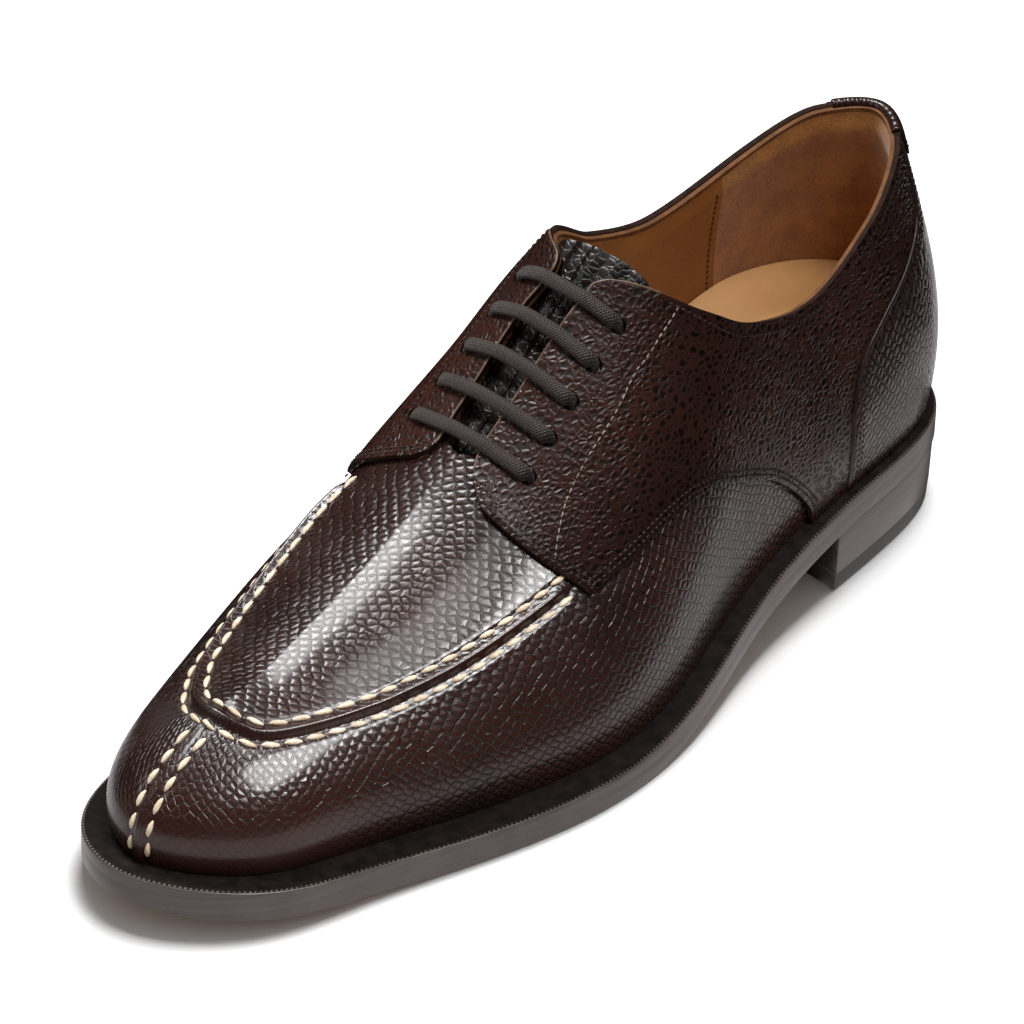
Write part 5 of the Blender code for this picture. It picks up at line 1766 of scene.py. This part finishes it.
@dataclass
class Bottom:
    """Welt, outsole, heel stack and top lift."""

    finishes: Finishes
    count: int = 320
    ring_count: int = 256
    heel_front: float = 71.5
    lift_thick: float = 5.4

    def build(self) -> None:
        """Build the bottom from the welt down."""
        self.build_welt()
        self.build_outsole()
        self.build_heel()
        self.sew_welt()

    def build_welt(self) -> None:
        """Welt as a ring with rounded edges."""
        # A torus primitive has at most 256 segments round
        walk = np.linspace(0.0, 1.0, self.ring_count, endpoint=False)
        base = LAST.outsole_thick
        top = LAST.sole_thick
        profile = [(0.0, 0.6, base + 0.05), (0.0, 0.03, base - 0.72), (0.0, -0.02, base + 0.3),
                   (0.0, 0.0, top - 0.6), (0.0, 0.06, top - 0.3), (0.0, 0.24, top - 0.06), (0.0, 0.6, top),
                   (0.3, 0.8, top - 0.05), (0.7, 0.3, top - 0.1), (1.0, 0.2, top), (1.0, 3.6, top),
                   (1.0, 3.6, base + 0.05)]
        loops = []
        for part, more, height in profile:
            spot = LAST.inset(walk, part, more)[0]
            loops.append(np.stack([spot[:, 1], spot[:, 0], LAST.underside(spot[:, 0]) + height], axis=1))
        points = np.array(loops).transpose(1, 0, 2)
        thing = Workshop.ring("welt_strip", points)
        Workshop.merge(thing, outward=True)
        Workshop.dress(thing, self.finishes.welt, self.finishes.sole)
        Workshop.choose(thing, np.abs(Workshop.tilts(thing)) < 0.8)
        Workshop.smooth(thing, 50.0)
        Workshop.settle(thing, "welt_leather", "welt")

    def build_outsole(self) -> None:
        """Outsole plate bent to heel seat, shank, tread and toe spring."""
        walk = np.linspace(0.0, 1.0, self.count, endpoint=False)
        outline = LAST.inset(walk, 0.0, 0.0)[0][:, ::-1]
        thing = Workshop.plate("outsole_plate", outline, np.arange(4.0, 300.0, 4.0))

        def heights(flat: Array) -> Array:
            """Bend the plate to the sole's heights."""
            under = LAST.underside(flat[:, 1])
            height = under + flat[:, 2] * LAST.outsole_thick
            return LAST.place(np.stack([flat[:, 0], flat[:, 1], height], axis=1))

        Workshop.reshape(thing, heights)
        Workshop.merge(thing, outward=True)
        Workshop.round_edges(thing, 0.5, 3, 60.0)
        Workshop.dress(thing, self.finishes.sole, self.finishes.tread)
        Workshop.choose(thing, Workshop.tilts(thing) < -0.8)
        Workshop.smooth(thing, 40.0)
        Workshop.settle(thing, "sole_leather", "outsole")

    def heel_outline(self, shrink: float) -> Array:
        """Plan of the heel behind its hollow breast, as (across, from_heel)."""
        walk = np.linspace(-0.30, 0.30, 601)
        edge = LAST.inset(LAST.edge_walk(walk), 0.0, shrink)[0]
        back = edge[edge[:, 0] <= self.heel_front]
        picked = back[np.linspace(0, len(back) - 1, 120).astype(int)]
        part = np.linspace(0.0, 1.0, 25)[1:-1, None]
        breast = picked[-1] + (picked[0] - picked[-1]) * part
        breast[:, 0] -= 3.5 * (1.0 - (2.0 * part[:, 0] - 1.0) ** 2)
        return np.concatenate([picked, breast])[:, ::-1]

    def build_heel(self) -> None:
        """Stacked heel block and rubber lift, each with eased edges."""
        for name, node, slot, shrink, low, stations, finish in (
                ("heel_block", "heel_stack", "heel_leather", 0.35, self.lift_thick + 0.05,
                 [52.0, 56.0, 60.0, 64.0, 68.0], self.finishes.heel),
                ("heel_lift", "top_lift", "lift_rubber", 0.75, 0.0, [], self.finishes.rubber)):
            outline = self.heel_outline(shrink)
            centre = outline.mean(axis=0)
            thing = Workshop.plate(name, outline, stations)

            def heights(flat: Array) -> Array:
                """Set the block's heights and draw its foot in a little."""
                high = LAST.underside(flat[:, 1:2]) - 0.05 if stations else self.lift_thick
                flare = np.where(flat[:, 2] > 0.5, 1.0, 0.988)[:, None]
                plan = centre + (flat[:, :2] - centre) * flare
                height = low + flat[:, 2:3] * (high - low)
                return LAST.place(np.concatenate([plan, height], axis=1))

            Workshop.reshape(thing, heights)
            Workshop.merge(thing, outward=True)
            Workshop.round_edges(thing, 0.4, 2)
            Workshop.dress(thing, finish)
            Workshop.smooth(thing, 40.0)
            Workshop.settle(thing, slot, node)

    def sew_welt(self) -> None:
        """Set the fine notched line along the welt's outer edge, from heel to heel round the toe."""
        rows = Stitcher("welt_stitches", WELT_STITCH)
        half = np.linspace(0.0, 1.0, 900)
        share = both_sides(half)
        spot = LAST.inset(LAST.edge_walk(share), 0.0, 0.6)[0]
        height = LAST.underside(spot[:, 0]) + LAST.sole_thick + 0.02
        points = np.stack([spot[:, 1], spot[:, 0], height], axis=1)
        rows.sew(points, np.repeat([[0.0, 0.0, 1.0]], len(points), axis=0))
        rows.finish(self.finishes.welt_thread, "welt_leather")


@dataclass
class Studio:
    """Pale floor, soft lights and the camera at the photograph's angle."""

    camera_place: tuple = (0.74414, -0.90717, 0.80392)
    aim: tuple = (-0.01008, -0.00333, 0.04613)
    lens: float = 193.4
    roll: float = 1.57
    sky: float = 0.34

    def build(self) -> None:
        """Set up floor, world, lights and camera."""
        Workshop.begin()
        bpy.ops.mesh.primitive_plane_add(size=8.0)
        floor = Workshop.name(bpy.context.object, "floor")
        paper = Board("floor_paper")
        Workshop.dress(floor, paper.finish((0.8, 0.8, 0.8), 0.9, Specular_IOR_Level=0.0))
        floor.visible_glossy = False
        self.reflector("toe_reflector", (0.03, -0.21, -0.002), (0.30, 0.26, 1.0), 0.75)
        self.reflector("side_reflector", (0.05, 0.08, -0.002), (0.05, 0.34, 1.0), 0.62)
        self.reflector("heel_reflector", (-0.08, 0.26, -0.002), (0.20, 0.14, 1.0), 0.75)
        scene = bpy.context.scene
        scene.view_settings.view_transform = "Standard"
        scene.view_settings.look = "None"
        world = bpy.data.worlds.new("studio_air")
        scene.world = world
        world.use_nodes = True
        back = world.node_tree.nodes["Background"]
        back.inputs["Color"].default_value = (1.0, 1.0, 1.0, 1.0)
        back.inputs["Strength"].default_value = self.sky
        world.cycles_visibility.glossy = False
        only_floor = self.group("only_floor", "floor")
        not_floor = self.group("not_floor", "floor")
        not_floor.collection_objects[0].light_linking.link_state = "EXCLUDE"
        low_parts = self.group("low_parts", "vamp", "apron_stitches", "welt_strip", "outsole_plate",
                               "heel_block", "heel_lift")
        inside = self.group("inside", "lining", "insole_sock")
        for name, place, wide, power, lit in (
                ("top_softbox", (-0.70, 0.12, 1.35), 0.46, 24.5, not_floor),
                ("overhead_softbox", (0.15, 0.05, 1.50), 0.4, 6.0, not_floor),
                ("front_softbox", (-0.75, -1.00, 0.85), 0.45, 3.0, not_floor),
                ("side_softbox", (0.62, -0.06, 1.15), 0.42, 22.0, low_parts),
                ("collar_softbox", (0.62, -0.06, 1.15), 0.42, 5.0, inside),
                ("floor_softbox", (-0.12, 0.35, 1.40), 0.6, 32.0, only_floor)):
            self.softbox(name, place, wide, power, lit)
        self.point_camera()

    @staticmethod
    def group(name: str, *members: str) -> Group:
        """Collection of pieces that a light is linked to.

        Args:
            name: Name of the collection.
            members: Names of the pieces.

        Returns:
            The collection.
        """
        pieces = bpy.data.collections.new(name)
        for member in members:
            pieces.objects.link(bpy.data.objects[member])
        return pieces

    @staticmethod
    def reflector(name: str, place: tuple, size: tuple, glow: float) -> None:
        """Lay a white card by the shoe, seen only in reflections.

        Args:
            name: Name of the card.
            place: Where its middle lies.
            size: Its sides in metres.
            glow: Strength of its light.
        """
        Workshop.begin()
        bpy.ops.mesh.primitive_plane_add(size=1.0, location=place)
        card = Workshop.name(bpy.context.object, name)
        card.scale = size
        paper = Board(name + "_paper")
        Workshop.dress(card, paper.finish((0.8, 0.8, 0.8), 0.8, Emission_Strength=glow))
        paper.shader.inputs["Emission Color"].default_value = (1.0, 0.95, 0.94, 1.0)
        card.visible_camera = False
        card.visible_diffuse = False
        card.visible_shadow = False

    @staticmethod
    def softbox(name: str, place: tuple, wide: float, power: float, lit: Group) -> None:
        """Add a square area light that faces the middle of the shoe's floor.

        Args:
            name: Name of the light.
            place: Where it hangs.
            wide: Width in metres.
            power: Watts.
            lit: What it lights.
        """
        Workshop.begin()
        bpy.ops.object.light_add(type="AREA", location=place)
        light = bpy.context.object
        light.name = name
        light.data.shape = "SQUARE"
        light.data.size = wide
        light.data.energy = power
        light.light_linking.receiver_collection = lit
        way = -Vector(place)
        light.rotation_euler = way.to_track_quat("-Z", "Y").to_euler()

    def point_camera(self) -> None:
        """Put the camera at its place, aim it and roll it."""
        data = bpy.data.cameras.new("photo_camera")
        camera = bpy.data.objects.new("photo_camera", data)
        bpy.context.scene.collection.objects.link(camera)
        data.lens = self.lens
        data.sensor_width = 36.0
        way = Vector(self.aim) - Vector(self.camera_place)
        turn = way.to_track_quat("-Z", "Y").to_matrix()
        turn = turn @ Matrix.Rotation(math.radians(self.roll), 3, "Z")
        camera.matrix_world = Matrix.Translation(Vector(self.camera_place)) @ turn.to_4x4()
        bpy.context.scene.camera = camera


def main() -> None:
    """Load the frame, build the shoe from the sole up and set the studio round it."""
    logging.basicConfig(level=logging.INFO, format="%(name)s: %(message)s")
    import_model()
    finishes = Finishes()
    Bottom(finishes).build()
    lining = Lining(finishes)
    lining.build_insole()
    lining.build()
    vamp = Vamp(finishes)
    vamp.build()
    vamp.sew()
    tonal = Stitcher("tonal_stitches", FINE_STITCH)
    facing = Stitcher("facing_stitches", FACING_STITCH)
    counter = Counter(finishes)
    counter.build()
    counter.sew(tonal)
    for name, side in (("quarter_panel_lateral", 1.0), ("quarter_panel_medial", -1.0)):
        quarter = Quarter(finishes, name, side)
        quarter.build()
        quarter.build_bead()
        quarter.sew(tonal, facing)
    tonal.finish(finishes.tonal, "upper_leather")
    facing.finish(finishes.pale_thread, "upper_leather")
    Tongue(finishes).build()
    Lacing(finishes).build()
    Studio().build()


if __name__ == "__main__":
    main()
